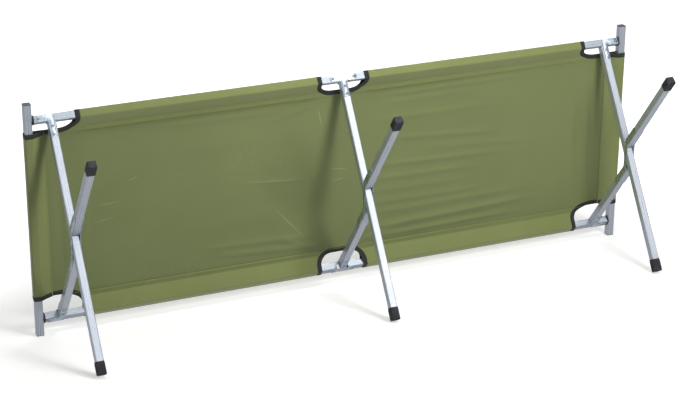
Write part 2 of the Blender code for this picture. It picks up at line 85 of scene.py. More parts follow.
MM = 0.001
STRAIGHT_TILT = math.radians(33.1)
SPLIT_TILT = math.radians(37.103)
ENDS = {"left": -1, "right": 1}


def linear_colour(code: str) -> tuple[float, float, float, float]:
    """Turns an sRGB hex colour into the linear colour that a shader takes.

    Args:
        code: The colour as six hex digits after a hash.

    Returns:
        Linear red, green, blue and a full alpha.
    """
    channels = [int(code[i : i + 2], 16) / 255 for i in (1, 3, 5)]
    red, green, blue = (c / 12.92 if c <= 0.04045 else ((c + 0.055) / 1.055) ** 2.4 for c in channels)
    return red, green, blue, 1.0


def add_node(
    tree: bpy.types.NodeTree, kind: str, inputs: dict | None = None, **settings: object
) -> bpy.types.Node:
    """Adds one shader node with its settings and links.

    Args:
        tree: The node tree that takes the node.
        kind: The node's type, without the word ShaderNode.
        inputs: Socket names or numbers, each with a value, a hex colour, or what is linked to it: an output
            socket, or a node, which stands for its first output in use.
        settings: Properties of the node itself.

    Returns:
        The new node.
    """
    node = tree.nodes.new("ShaderNode" + kind)
    for name, value in settings.items():
        setattr(node, name, value)
    for name, value in (inputs or {}).items():
        if isinstance(value, bpy.types.Node):
            value = next(output for output in value.outputs if output.enabled)
        if isinstance(value, bpy.types.NodeSocket):
            tree.links.new(value, node.inputs[name])
        else:
            node.inputs[name].default_value = linear_colour(value) if isinstance(value, str) else value
    return node


def clear_nodes(owner: bpy.types.Material | bpy.types.World) -> Adder:
    """Empties the node tree of a material or the world.

    Args:
        owner: The material or world.

    Returns:
        What adds a node to it.
    """
    owner.use_nodes = True
    owner.node_tree.nodes.clear()
    return partial(add_node, owner.node_tree)


def wave_scale(pitch: float) -> float:
    """Gives the scale at which a wave texture repeats at a pitch in metres."""
    return 0.314 / pitch / 2


class Along(Enum):
    """The direction that a tube's drawing lines run in."""

    BED = "bed"
    ACROSS = "across"
    STRAIGHT_LEG = "straight_leg"
    SPLIT_LEG = "split_leg"


@dataclass(frozen=True)
class Finish:
    """A named material with one shader, which takes what its surface lists."""

    name: str

    def build(self) -> bpy.types.Material:
        """Makes the material.

        Returns:
            The material.
        """
        made = bpy.data.materials.new(self.name)
        add = clear_nodes(made)
        add("OutputMaterial", {"Surface": add("BsdfPrincipled", self.surface(add))})
        return made

    def surface(self, add: Adder) -> dict[str, object]:
        """Lists the shader's inputs, which each finish has of its own."""
        raise NotImplementedError


@dataclass(frozen=True)
class SatinAluminium(Finish):
    """Extruded 6063 tube with a clear satin anodise: a soft grey mirror with faint lines along its length."""

    turn: Triple
    colour: str
    shade: str
    roughness: float = 0.28
    line_pitch: float = 1.6 * MM
    drawn_out: float = 90.0

    def surface(self, add: Adder) -> dict[str, object]:
        """Draws the lines along the tube, over faint clouds.

        Args:
            add: What adds a node.

        Returns:
            The shader's inputs.
        """
        place = add("TexCoord").outputs["Object"]
        drawn = {"Vector": place, "Rotation": self.turn, "Scale": (1, 1, self.drawn_out)}
        turned = add("Mapping", drawn, vector_type="TEXTURE")
        lines = {"Vector": turned, "Scale": 1 / self.line_pitch, "Detail": 4.0, "Roughness": 0.6}
        lines = add("TexNoise", lines)
        clouds = add("TexNoise", {"Vector": place, "Scale": 9.0, "Detail": 3.0})
        gloss = {0: lines, 1: 0.3, 2: 0.7, 3: self.roughness - 0.03, 4: self.roughness + 0.05}
        return {
            "Base Color": add("Mix", {0: clouds, 6: self.shade, 7: self.colour}, data_type="RGBA"),
            "Metallic": 0.7,
            "Roughness": add("MapRange", gloss),
            "Normal": add("Bump", {"Height": lines, "Strength": 0.03, "Distance": 0.2 * MM}),
        }


@dataclass(frozen=True)
class BrightZinc(Finish):
    """Pressed steel with blue-passivated zinc plate: a cold, cloudy shine over faint pressing marks."""

    name: str = "blue_passivated_zinc_plate"
    colour: str = "#d8e1e8"
    cloud: str = "#aebbc5"
    roughness: float = 0.22
    spangle: float = 9.0 * MM

    def surface(self, add: Adder) -> dict[str, object]:
        """Clouds the plate and dulls it between its spangles.

        Args:
            add: What adds a node.

        Returns:
            The shader's inputs.
        """
        place = add("TexCoord").outputs["Object"]
        grains = add("TexVoronoi", {"Vector": place, "Scale": 1 / self.spangle})
        clouds = {"Vector": place, "Scale": 0.5 / self.spangle, "Detail": 5.0, "Roughness": 0.65}
        clouds = add("TexNoise", clouds)
        blotch = add("MapRange", {0: clouds, 1: 0.38, 2: 0.62})
        gloss = {0: grains, 2: 0.8, 3: self.roughness - 0.06, 4: self.roughness + 0.12}
        return {
            "Base Color": add("Mix", {0: blotch, 6: self.cloud, 7: self.colour}, data_type="RGBA"),
            "Metallic": 1.0,
            "Roughness": add("MapRange", gloss),
            "Normal": add("Bump", {"Height": clouds, "Strength": 0.18, "Distance": 0.4 * MM}),
        }


@dataclass(frozen=True)
class RivetSteel(Finish):
    """Nickel-plated tubular rivet steel, dulled by the setting tool."""

    name: str = "nickel_plated_rivet_steel"
    colour: str = "#b1b9be"
    dull: str = "#7c868d"

    def surface(self, add: Adder) -> dict[str, object]:
        """Dulls the head in small marks.

        Args:
            add: What adds a node.

        Returns:
            The shader's inputs.
        """
        place = add("TexCoord").outputs["Object"]
        marks = add("TexNoise", {"Vector": place, "Scale": 420.0, "Detail": 3.0})
        tint = add("Mix", {0: marks, 6: self.dull, 7: self.colour}, data_type="RGBA")
        return {"Base Color": tint, "Metallic": 1.0, "Roughness": 0.34}


@dataclass(frozen=True)
class MouldedPolypropylene(Finish):
    """Black injection-moulded polypropylene: a fine spark-eroded grain that scuffs grey."""

    name: str = "black_moulded_polypropylene"
    colour: str = "#29292d"
    scuff: str = "#47474d"
    roughness: float = 0.50
    grain: float = 0.9 * MM

    def surface(self, add: Adder) -> dict[str, object]:
        """Grains the plastic and scuffs it in patches.

        Args:
            add: What adds a node.

        Returns:
            The shader's inputs.
        """
        place = add("TexCoord").outputs["Object"]
        grain = add("TexNoise", {"Vector": place, "Scale": 1 / self.grain, "Detail": 3.0})
        wear = add("TexNoise", {"Vector": place, "Scale": 60.0, "Detail": 6.0})
        worn = add("MapRange", {0: wear, 1: 0.52, 2: 0.70, 4: 0.8})
        return {
            "Base Color": add("Mix", {0: worn, 6: self.colour, 7: self.scuff}, data_type="RGBA"),
            "Roughness": add("MapRange", {0: worn, 3: self.roughness, 4: self.roughness + 0.2}),
            "Specular IOR Level": 0.35,
            "Normal": add("Bump", {"Height": grain, "Strength": 0.25, "Distance": 0.1 * MM}),
        }


@dataclass(frozen=True)
class CoatedOxford(Finish):
    """Olive 600 denier polyester oxford, coated on its back: a flat basket weave that pales along its creases.

    The real thread is 0.5 mm, and it is drawn at 1.6 mm so that it shows at all.
    """

    colour: str
    shade: str
    crease: str = "#8d9468"
    scratches: tuple[tuple[int, int, int, int], ...] = ()
    scratch_width: float = 2.2 * MM
    thread: float = 1.6 * MM

    def surface(self, add: Adder) -> dict[str, object]:
        """Weaves the cloth, and pales it in branching creases and single scratches.

        Args:
            add: What adds a node.

        Returns:
            The shader's inputs.
        """
        place = add("TexCoord").outputs["Object"]
        woven = {"Vector": place, "Scale": wave_scale(self.thread), "Distortion": 0.6}
        warp, weft = (add("TexWave", woven, bands_direction=way).outputs["Fac"] for way in "XY")
        weave = add("Math", {0: warp, 1: weft}, operation="MULTIPLY")
        clouds = add("TexNoise", {"Vector": place, "Scale": 6.0, "Detail": 6.0})
        tint = add("Mix", {0: clouds, 6: self.shade, 7: self.colour}, data_type="RGBA")
        veins = {"Vector": place, "Scale": 11.0, "Detail": 8.0, "Roughness": 0.7, "Distortion": 1.2}
        centred = add("Math", {0: add("TexNoise", veins), 1: 0.5}, operation="SUBTRACT")
        near = add("Math", {0: centred}, operation="ABSOLUTE")
        thin = add("MapRange", {0: near, 2: 0.012, 3: 0.35, 4: 0.0})
        where = add("TexNoise", {"Vector": place, "Scale": 3.3, "Detail": 2.0})
        patch = add("MapRange", {0: where, 1: 0.52, 2: 0.68})
        pale = add("Math", {0: thin, 1: patch}, operation="MULTIPLY")
        for x0, y0, x1, y1 in self.scratches:
            run, rise = (x1 - x0) * MM, (y1 - y0) * MM
            stroke = {
                "Vector": place,
                "Location": ((x0 + x1) / 2 * MM, (y0 + y1) / 2 * MM, 0),
                "Rotation": (0, 0, math.atan2(rise, run)),
                "Scale": (math.hypot(run, rise) / 2, self.scratch_width, 100),
            }
            stroke = add("Mapping", stroke, vector_type="TEXTURE")
            far = add("VectorMath", {0: stroke}, operation="LENGTH")
            faint = add("MapRange", {0: far, 3: 0.9, 4: 0.0})
            pale = add("Math", {0: pale, 1: faint}, operation="MAXIMUM")
        return {
            "Base Color": add("Mix", {0: pale, 6: tint, 7: self.crease}, data_type="RGBA"),
            "Roughness": 0.62,
            "Sheen Weight": 0.3,
            "Sheen Roughness": 0.4,
            "Sheen Tint": "#c8cbb8",
            "Normal": add("Bump", {"Height": weave, "Strength": 0.35, "Distance": 0.3 * MM}),
        }


@dataclass(frozen=True)
class BindingTape(Finish):
    """Black woven polypropylene binding tape, ribbed across its width. Its map runs along it in metres."""

    name: str = "black_woven_binding_tape"
    colour: str = "#1d1e1d"
    edge: str = "#2e302d"
    rib: float = 1.1 * MM

    def surface(self, add: Adder) -> dict[str, object]:
        """Ribs the tape.

        Args:
            add: What adds a node.

        Returns:
            The shader's inputs.
        """
        place = add("UVMap", uv_map="flat_cloth")
        ribs = {"Vector": place, "Scale": wave_scale(self.rib), "Distortion": 0.4}
        ribs = add("TexWave", ribs, bands_direction="X").outputs["Fac"]
        return {
            "Base Color": add("Mix", {0: ribs, 6: self.colour, 7: self.edge}, data_type="RGBA"),
            "Roughness": 0.7,
            "Normal": add("Bump", {"Height": ribs, "Strength": 0.5, "Distance": 0.2 * MM}),
        }


@dataclass(frozen=True)
class BondedThread(Finish):
    """Bonded polyester sewing thread, a shade darker than the cloth, with a twist along it."""

    name: str = "olive_bonded_thread"
    colour: str = "#4d5338"
    light: str = "#666d4c"
    twist: float = 0.6 * MM

    def surface(self, add: Adder) -> dict[str, object]:
        """Twists the thread.

        Args:
            add: What adds a node.

        Returns:
            The shader's inputs.
        """
        ply = {"Vector": add("TexCoord").outputs["Object"], "Scale": wave_scale(self.twist)}
        ply = add("TexWave", ply, bands_direction="DIAGONAL").outputs["Fac"]
        tint = add("Mix", {0: ply, 6: self.colour, 7: self.light}, data_type="RGBA")
        return {"Base Color": tint, "Roughness": 0.55}


# The pale scratches on the underside, each from one place to another in mm.
SCRATCHES = (
    (-312, -16, -107, 1),
    (-225, 63, -95, 213),
    (-757, -14, -677, -18),
    (-774, 38, -690, 25),
    (-657, -75, -621, -90),
    (-72, -224, -59, -149),
    (-40, -20, 30, -10),
    (-30, 22, 20, 15),
)


@dataclass
class Frame:
    """The metal and plastic of the bed, which keep the shapes of the CAD nodes, and every finish."""

    nodes: dict[str, Piece]
    split_grain: float = math.radians(37.1)

    def __post_init__(self) -> None:
        """Makes each finish once."""
        quarter = math.pi / 2
        turns = {
            Along.BED: (0, quarter, 0),
            Along.ACROSS: (quarter, 0, 0),
            Along.STRAIGHT_LEG: (quarter - STRAIGHT_TILT, 0, 0),
            Along.SPLIT_LEG: (self.split_grain - quarter, 0, 0),
        }
        mixed: dict[str, Finish] = {}
        for along, turn in turns.items():
            # The rails' pair of tones is painted darker than the legs' and end bars': painted shade on the same
            # aluminium.
            shades = ("#b3b9c0", "#9fa6ae") if along is Along.BED else ("#c9ced5", "#b3b9c2")
            mixed[along.value] = SatinAluminium(f"satin_anodised_aluminium_{along.value}", turn, *shades)
        mixed["zinc"] = BrightZinc()
        mixed["rivet"] = RivetSteel()
        mixed["plastic"] = MouldedPolypropylene()
        # The face is painted lighter than the back: painted light on the outer faces of the sleeves and hems.
        mixed["cloth"] = CoatedOxford("olive_polyester_oxford_face_painted_lighter", "#798150", "#6e7647")
        mixed["back"] = CoatedOxford("olive_polyester_oxford_back", "#727a4e", "#677046", scratches=SCRATCHES)
        mixed["tape"] = BindingTape()
        mixed["thread"] = BondedThread()
        self.finishes = {word: finish.build() for word, finish in mixed.items()}

    def finish_of(self, node: str) -> bpy.types.Material:
        """Chooses a node's finish by the start of its name.

        Args:
            node: The CAD node's name.

        Returns:
            The finish that it takes.
        """
        starts = {
            "rail_plug": "plastic",
            "bar_plug": "plastic",
            "foot_cap": "plastic",
            "rail": Along.BED.value,
            "end_bar": Along.ACROSS.value,
            "straight_leg": Along.STRAIGHT_LEG.value,
            "split_leg": Along.SPLIT_LEG.value,
            "cloth": "cloth",
            "end_sleeve": "cloth",
        }
        return self.finishes[next((word for start, word in starts.items() if node.startswith(start)), "zinc")]

    def dress(self) -> None:
        """Gives every CAD node its finish."""
        for name, node in self.nodes.items():
            node.data.materials.clear()
            node.data.materials.append(self.finish_of(name))
            log.info("%s takes %s", name, node.data.materials[0].name)


def smooth_step(x: np.ndarray) -> np.ndarray:
    """Rises smoothly from 0 at 0 to 1 at 1."""
    x = np.clip(x, 0, 1)
    return x * x * (3 - 2 * x)


def rumple(a: np.ndarray, b: np.ndarray, scale: Pair, layer: float) -> np.ndarray:
    """Gives smooth noise at some places on a sheet.

    Args:
        a: The places one way.
        b: The places the other way.
        scale: How fast the noise changes each way.
        layer: Which noise it is.

    Returns:
        Values from -1 to 1.
    """
    values = [noise.noise((p * scale[0], q * scale[1], layer)) for p, q in zip(np.ravel(a), np.ravel(b))]
    return np.reshape(values, np.shape(a))


def run_lengths(line: np.ndarray) -> np.ndarray:
    """Measures the length along a line of points up to each of them."""
    return np.concatenate([[0], np.cumsum(np.linalg.norm(np.diff(line, axis=0), axis=1))])


@dataclass(frozen=True)
class Fold:
    """One soft fold in the panel, in mm: a long low ridge; a negative height is a furrow."""

    start: Pair
    end: Pair
    width: float
    height: float
    bow: float = 0.0
    taper: float = 0.3

    def lift(self, x: np.ndarray, y: np.ndarray) -> np.ndarray:
        """Works out how far the fold lifts each point.

        Args:
            x: The points' places along the bed.
            y: Their places across it.

        Returns:
            The lift in metres.
        """
        start, end = np.array(self.start) * MM, np.array(self.end) * MM
        length = np.hypot(*(end - start))
        run = (end - start) / length
        along = ((x - start[0]) * run[0] + (y - start[1]) * run[1]) / length
        off = (y - start[1]) * run[0] - (x - start[0]) * run[1] - self.bow * MM * 4 * along * (1 - along)
        ends = smooth_step(along / self.taper) * smooth_step((1 - along) / self.taper)
        return FOLD_RELIEF * self.height * MM * np.exp(-((off / (self.width * MM)) ** 2)) * ends


def hull(points: list[Pair]) -> list[Pair]:
    """Finds the convex outline round some points.

    Args:
        points: The points.

    Returns:
        The outline, anticlockwise.
    """
    ordered = sorted(points)
    outline = []
    for run in (ordered, ordered[::-1]):
        half: list[Pair] = []
        for point in run:
            while len(half) > 1:
                (ax, ay), (bx, by) = half[-2], half[-1]
                if (bx - ax) * (point[1] - by) - (by - ay) * (point[0] - bx) > 0:
                    break
                half.pop()
            half.append(point)
        outline += half[:-1]
    return outline


@dataclass
class Section:
    """The cloth's line across the bed, from the middle over one rail, round it and back to the seam."""

    side: int
    tilt: float
    centre: float
    centre_z: float
    tube: float
    corner: float
    wrap: float
    seam: float
    level: float
    back: float
    first: float = 0.0
    strip: float = 0.0
    corner_points: int = 20

    def __post_init__(self) -> None:
        """Lays the line out: over the rolled tube's corners as a stretched cloth lies."""
        reach = (self.tube / 2 - self.corner) * math.sqrt(2)
        around = []
        for quarter in range(4):
            turn = self.tilt + math.radians(45 + 90 * quarter)
            middle = np.array([self.centre + reach * math.cos(turn), self.centre_z + reach * math.sin(turn)])
            for step in range(self.corner_points):
                angle = 2 * math.pi * step / self.corner_points
                bend = (self.corner + self.wrap) * np.array([math.cos(angle), math.sin(angle)])
                around.append(tuple(middle + bend))
        meet = self.seam + self.strip
        outline = hull([*around, (meet, self.level)])
        start = min(range(len(outline)), key=lambda i: outline[i][0])
        clockwise = [outline[(start - i) % len(outline)] for i in range(len(outline))]
        lead = [(self.first, self.level)] if self.first < meet else []
        tail = [(meet, self.back)] if self.strip > 0 else []
        self.line = np.array([*lead, *clockwise, *tail, (self.seam, self.back)])
        self.length = run_lengths(self.line)

    @property
    def total(self) -> float:
        """The line's whole length."""
        return float(self.length[-1])

    def under(self, y: np.ndarray) -> np.ndarray:
        """Finds the length along the line at which its lower layer passes a place across the bed."""
        lowest = int(np.argmin(self.line[:, 1]))
        return np.interp(-np.asarray(y), -self.line[lowest:, 0], self.length[lowest:])

    def rows(self, first: float, last: float) -> np.ndarray:
        """Chooses lengths for rows of vertices, close together only where the line bends.

        Args:
            first: Where the rows start.
            last: Where they end.

        Returns:
            The lengths between, without the two ends.
        """
        kept = [first]
        for t in self.length:
            if first + 1.0 * MM < t < last - 1.0 * MM and t - kept[-1] > 1.0 * MM:
                kept.append(float(t))
        return np.array(kept[1:])

    def at(self, t: np.ndarray) -> tuple[np.ndarray, np.ndarray]:
        """Finds the points of the line itself at some lengths."""
        return np.interp(t, self.length, self.line[:, 0]), np.interp(t, self.length, self.line[:, 1])

    def place(self, t: np.ndarray, lift: np.ndarray | float) -> tuple[np.ndarray, np.ndarray]:
        """Finds points off the line.

        Args:
            t: Their lengths along the line.
            lift: How far off the line's outer side they are.

        Returns:
            Their places across the bed, on this side, and their heights.
        """
        near = 0.8 * MM
        y, z = self.at(t)
        before, after = self.at(np.maximum(t - near, 0)), self.at(np.minimum(t + near, self.total))
        dy, dz = after[0] - before[0], after[1] - before[1]
        size = np.hypot(dy, dz)
        return self.side * (y - lift * dz / size), z + lift * dy / size


def select_only(*pieces: Piece) -> None:
    """Selects some pieces and nothing else, with the first one active.

    Args:
        pieces: The pieces.
    """
    bpy.ops.object.select_all(action="DESELECT")
    for piece in pieces:
        piece.select_set(True)
    bpy.context.view_layer.objects.active = pieces[0]


def mesh_piece(name: str, places: list[np.ndarray], faces: list, flats: list[np.ndarray]) -> Piece:
    """Makes a mesh whose UV map holds the cloth's own flat places in metres.

    Args:
        name: The piece's name.
        places: The vertices, in runs.
        faces: Vertex numbers of each face.
        flats: Each vertex's place on the flat cloth, in the same runs.

    Returns:
        The new object, at the origin.
    """
    mesh = bpy.data.meshes.new(name)
    mesh.from_pydata([tuple(p) for p in np.concatenate(places)], [], faces)
    layer, flat = mesh.uv_layers.new(name="flat_cloth"), np.concatenate(flats)
    for loop in mesh.loops:
        layer.data[loop.index].uv = flat[loop.vertex_index]
    obj = bpy.data.objects.new(name, mesh)
    bpy.context.scene.collection.objects.link(obj)
    mesh.shade_smooth()
    return obj


def grid_faces(rows: int, columns: int, start: int = 0) -> list[tuple[int, int, int, int]]:
    """Lists the faces of a grid of vertices, stored row by row from one vertex on."""
    corners = [start + i * columns + j for i in range(rows - 1) for j in range(columns - 1)]
    return [(a, a + 1, a + columns + 1, a + columns) for a in corners]


def apply_modifier(obj: Piece, kind: str, **settings: object) -> None:
    """Adds one modifier with its settings and applies it.

    Args:
        obj: The piece.
        kind: The modifier's type.
        settings: Its properties.
    """
    select_only(obj)
    modifier = obj.modifiers.new("step", kind)
    for name, value in settings.items():
        setattr(modifier, name, value)
    bpy.ops.object.modifier_apply(modifier=modifier.name)


def clean_up(obj: Piece, near: float = 0.02 * MM) -> None:
    """Merges doubled vertices and turns all faces the same way.

    Args:
        obj: The piece.
        near: How close two vertices lie to be one.
    """
    work = bmesh.new()
    work.from_mesh(obj.data)
    bmesh.ops.remove_doubles(work, verts=work.verts, dist=near)
    bmesh.ops.dissolve_degenerate(work, edges=work.edges, dist=near)
    bmesh.ops.recalc_face_normals(work, faces=work.faces)
    work.to_mesh(obj.data)
    work.free()


# The folds' heights are judged. Soft light hides low ones, so each is raised this many times.
FOLD_RELIEF = 3.8
FOLDS = (
    Fold((40, -150), (560, -152), 10, 0.7),
    Fold((120, -92), (560, -60), 9, 0.9),
    Fold((240, -44), (680, -14), 9, 0.6),
    Fold((60, -8), (600, 8), 8, 1.0),
    Fold((50, 36), (500, 42), 8, 0.9),
    Fold((60, 74), (460, 80), 9, 0.6),
    Fold((40, 112), (520, 118), 8, 0.8),
    Fold((30, 148), (680, 140), 10, 0.9),
    Fold((20, 196), (700, 174), 9, 1.6),
    Fold((40, 224), (640, 215), 7, 1.2),
    Fold((60, -228), (680, -230), 6, 1.0),
    Fold((100, -200), (460, -206), 9, 0.6),
    Fold((-480, 170), (-40, 189), 9, 0.8),
    Fold((-430, 201), (-40, 223), 8, 0.8),
    Fold((-340, -16), (-50, 4), 7, 0.5),
    Fold((-100, -222), (-620, -226), 8, 0.6),
    Fold((-190, -140), (-520, -150), 20, 0.5),
    Fold((-130, 90), (-560, 110), 22, 0.5),
    Fold((-60, -235), (-250, -186), 9, 0.6),
    Fold((-60, 235), (-210, 176), 9, 0.7),
    Fold((60, 235), (230, 186), 9, 0.6),
    Fold((788, -190), (800, 200), 10, 0.8, 6),
    Fold((848, -205), (856, 205), 8, -0.8, -4),
    Fold((-790, -190), (-798, 200), 12, 0.6, -5),
    Fold((-852, -205), (-856, 205), 9, -0.7, 4),
)


def inward(line: np.ndarray) -> np.ndarray:
    """Finds the directions into the cloth along an edge that starts with the cloth towards the middle line.

    Args:
        line: The edge's points on the flat cloth.

    Returns:
        One unit vector for each point.
    """
    run = np.gradient(line, axis=0)
    run = run / np.linalg.norm(run, axis=1)[:, None]
    left = np.stack([-run[:, 1], run[:, 0]], axis=-1)
    return left if left[0, 1] * line[0, 1] < 0 else -left


@dataclass(frozen=True)
class Cut:
    """How the cloth is cut and sewn on one side, as distances from the bed's middle line."""

    seam: float
    sleeve_end: float
    corner_round: Pair
    middle_depth: float
    middle_round: Pair
    slack: float
    pillow: float


@dataclass
class Cloth:
    """The bed's cloth: the panel with its side sleeves, an end sleeve round each bar, their binding and seams.

    A flat place on the panel is x along the bed and t, the length of cloth from the bed's middle line, negative
    towards side A. On an end sleeve t starts at its upper edge.
    """

    finishes: dict[str, bpy.types.Material]
    tube: float = 22 * MM
    corner: float = 2.5 * MM
    cloth: float = 1.2 * MM
    gap: float = 0.4 * MM
    clearance: float = 0.3 * MM
    rail_y: float = 300 * MM
    panel_end: float = 915 * MM
    bar_x: float = 939 * MM
    sleeve_tip: float = 893 * MM
    hem_end: float = 879 * MM
    corner_start: float = 806 * MM
    middle_half: float = 68 * MM
    middle_flat: float = 26 * MM
    strip: float = 15 * MM
    slack_length: float = 38 * MM
    calm_side: Pair = (16 * MM, 15 * MM)
    calm_end: Pair = (852 * MM, 24 * MM)
    lip: float = 1.2 * MM
    thin_hem: Pair = (150 * MM, 500 * MM)
    hem_ease: float = 30 * MM
    slack_ease: float = 40 * MM
    unevenness: float = 0.45 * MM
    pucker: float = 0.5 * MM
    pucker_ease: float = 18 * MM
    sleeve_slack: float = 0.7 * MM
    sleeve_ease: float = 10 * MM
    tip_rise: Pair = (1.6 * MM, 8 * MM)
    column: float = 10 * MM
    tape: float = 13.5 * MM
    tape_thickness: float = 0.5 * MM
    tape_off: float = 0.1 * MM
    tape_fold: Pair = (0.6 * MM, -0.3 * MM)
    stitch_pitch: float = 4.2 * MM
    stitch_length: float = 3.2 * MM
    stitch_rows: Pair = (2 * MM, 6 * MM)
    side_seam: Pair = (58 * MM, 846 * MM)
    end_seam: Pair = (-246 * MM, 226 * MM)
    seam_step: float = 3 * MM
    thread: float = 0.5 * MM

    def __post_init__(self) -> None:
        """Finds the rails' height in the frame and lays out the cross-sections."""
        low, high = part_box("end_bar_left")
        self.rail_z = (low.z + high.z) / 2
        self.level = self.rail_z + self.tube / 2 + self.gap - self.clearance - self.cloth / 2
        step = self.cloth + self.clearance
        self.cuts = {
            -1: Cut(248 * MM, 264 * MM, (48 * MM, 25 * MM), 264 * MM, (38 * MM, 25 * MM), 1.6 * MM, 5.0 * MM),
            1: Cut(242 * MM, 240 * MM, (60 * MM, 38 * MM), 253 * MM, (42 * MM, 34 * MM), 1.0 * MM, 2.0 * MM),
        }
        shared = {"centre_z": self.rail_z, "tube": self.tube, "corner": self.corner}
        shared |= {"wrap": self.gap + self.cloth / 2, "back": self.level - step}
        tip = {"seam": self.sleeve_tip, "first": self.sleeve_tip, "level": self.level + step}
        self.rails, self.bars = {}, {}
        for side, tilt in ((-1, STRAIGHT_TILT), (1, SPLIT_TILT)):
            sewn = {"seam": self.cuts[side].seam, "strip": self.strip, "level": self.level}
            self.rails[side] = Section(side, tilt, self.rail_y, **sewn, **shared)
            self.bars[side] = Section(side, 0.0, self.bar_x, **tip, **shared)

    def seam_at(self, t: np.ndarray) -> np.ndarray:
        """Finds how far from the middle line the seam lies on each point's side."""
        return np.where(t < 0, self.cuts[-1].seam, self.cuts[1].seam)

    def ripple(self, x: np.ndarray, y: np.ndarray) -> np.ndarray:
        """Works out how far the panel leaves its plane: the named folds over a faint unevenness.

        Args:
            x: Places along the bed.
            y: Places across it.

        Returns:
            The rises, which fade out towards the seams and the ends.
        """
        lift = sum(fold.lift(x, y) for fold in FOLDS) + self.unevenness * rumple(x, y, (9, 26), 0.7)
        (before, fade), (start, end_fade) = self.calm_side, self.calm_end
        inside = 1 - smooth_step((np.abs(y) - self.seam_at(y) + before) / fade)
        return lift * inside * (1 - smooth_step((np.abs(x) - start) / end_fade))

    def puff(self, side: int, x: np.ndarray, t: np.ndarray) -> np.ndarray:
        """Works out how far a side sleeve stands off: puckers along its seams, a full hem and some slack.

        Args:
            side: -1 for side A, 1 for side B.
            x: Places along the bed.
            t: Lengths of cloth from the middle line.

        Returns:
            The distances.
        """
        rail, cut, size, far = self.rails[side], self.cuts[side], np.abs(t), np.abs(x)
        ease = self.pucker_ease
        free = smooth_step((size - rail.seam) / ease) * smooth_step((rail.total - size) / ease)
        puckers = self.pucker * np.abs(rumple(x, t, (38, 12), 3.1)) * free
        turned = (rail.total - size) / rail.strip
        apart = np.minimum(far - self.middle_half, self.corner_start - far)
        hem = cut.pillow * np.clip(1 - turned, 0, 1) * smooth_step(turned * rail.strip / self.lip)
        hem = hem * (0.15 + 0.85 * smooth_step(apart / self.hem_ease))
        hem = hem * (1 - 0.6 * smooth_step((x - self.thin_hem[0]) / self.thin_hem[1]))
        share = np.clip((rail.total - rail.strip - size) / self.slack_length, 0, 1)
        return puckers + hem + cut.slack * np.sin(math.pi * share) * smooth_step(apart / self.slack_ease)

    def surface(self, x: np.ndarray, t: np.ndarray, lift: np.ndarray | float = 0.0) -> np.ndarray:
        """Maps the flat panel onto the bed.

        Args:
            x: Places along the bed.
            t: Lengths of cloth from the middle line.
            lift: How far off the cloth's middle the points are.

        Returns:
            One point for each pair.
        """
        x, t = np.broadcast_arrays(np.asarray(x, float), np.asarray(t, float))
        lift = np.broadcast_to(lift, x.shape)
        y, z = np.zeros(x.shape), np.zeros(x.shape)
        for side, rail in self.rails.items():
            mine = (t >= 0) if side > 0 else (t < 0)
            off = lift[mine] + self.puff(side, x[mine], t[mine])
            y[mine], z[mine] = rail.place(np.abs(t[mine]), off)
        z = z - np.where(np.abs(t) < self.seam_at(t), self.ripple(x, t), 0)
        return np.stack([x, y, z], axis=-1)

    def edge(self, x: np.ndarray, side: int) -> np.ndarray:
        """Finds how far the panel reaches across the bed at each place along it, by the openings' arcs.

        Args:
            x: Places along the bed.
            side: -1 for side A, 1 for side B.

        Returns:
            The distances from the middle line.
        """
        x, cut = np.abs(x), self.cuts[side]
        (rx, ry), (mx, my) = cut.corner_round, cut.middle_round
        middle = np.clip((x - self.middle_half + mx) / mx, 0, 1)
        corner = np.clip((self.corner_start + rx - x) / rx, 0, 1)
        low, high = cut.middle_depth + my, cut.sleeve_end + ry
        share = np.clip((x - self.middle_half) / (self.corner_start - self.middle_half), 0, 1)
        by_middle = cut.middle_depth + my * (1 - np.sqrt(1 - middle**2))
        by_corner = cut.sleeve_end + ry * (1 - np.sqrt(1 - corner**2))
        between = low + (high - low) * share
        return np.where(x < self.middle_half, by_middle, np.where(x > self.corner_start, by_corner, between))

    def columns(self) -> np.ndarray:
        """Chooses the places of the mesh's columns along half the bed, closer together at the arcs.

        Returns:
            The places.
        """
        turn = np.linspace(0, math.pi / 2, 9)
        count = round((self.corner_start - self.middle_half) / self.column)
        runs = [np.linspace(self.middle_half, self.corner_start, count + 1)]
        runs.append(np.linspace(0, self.middle_flat, 5))
        for cut in self.cuts.values():
            rx, mx = cut.corner_round[0], cut.middle_round[0]
            runs.append(self.middle_half - mx + mx * np.sin(turn))
            runs.append(self.corner_start + rx * (1 - np.cos(turn)))
        runs.append(np.linspace(self.hem_end, self.panel_end, 8))
        return np.unique(np.round(np.concatenate(runs), 6))

    def build_panel(self) -> Piece:
        """Builds the panel and its two side sleeves as one cloth.

        Returns:
            The panel.
        """
        half = self.columns()
        places, faces, flats = [], [], []

        def add_grid(x: np.ndarray, t: np.ndarray) -> None:
            """Adds a grid of cloth.

            Args:
                x: The flat places along the bed, a row for each row of the grid.
                t: The lengths of cloth there.
            """
            faces.extend(grid_faces(*x.shape, sum(len(p) for p in places)))
            places.append(self.surface(x, t).reshape(-1, 3))
            flats.append(np.stack([x, t], axis=-1).reshape(-1, 2))

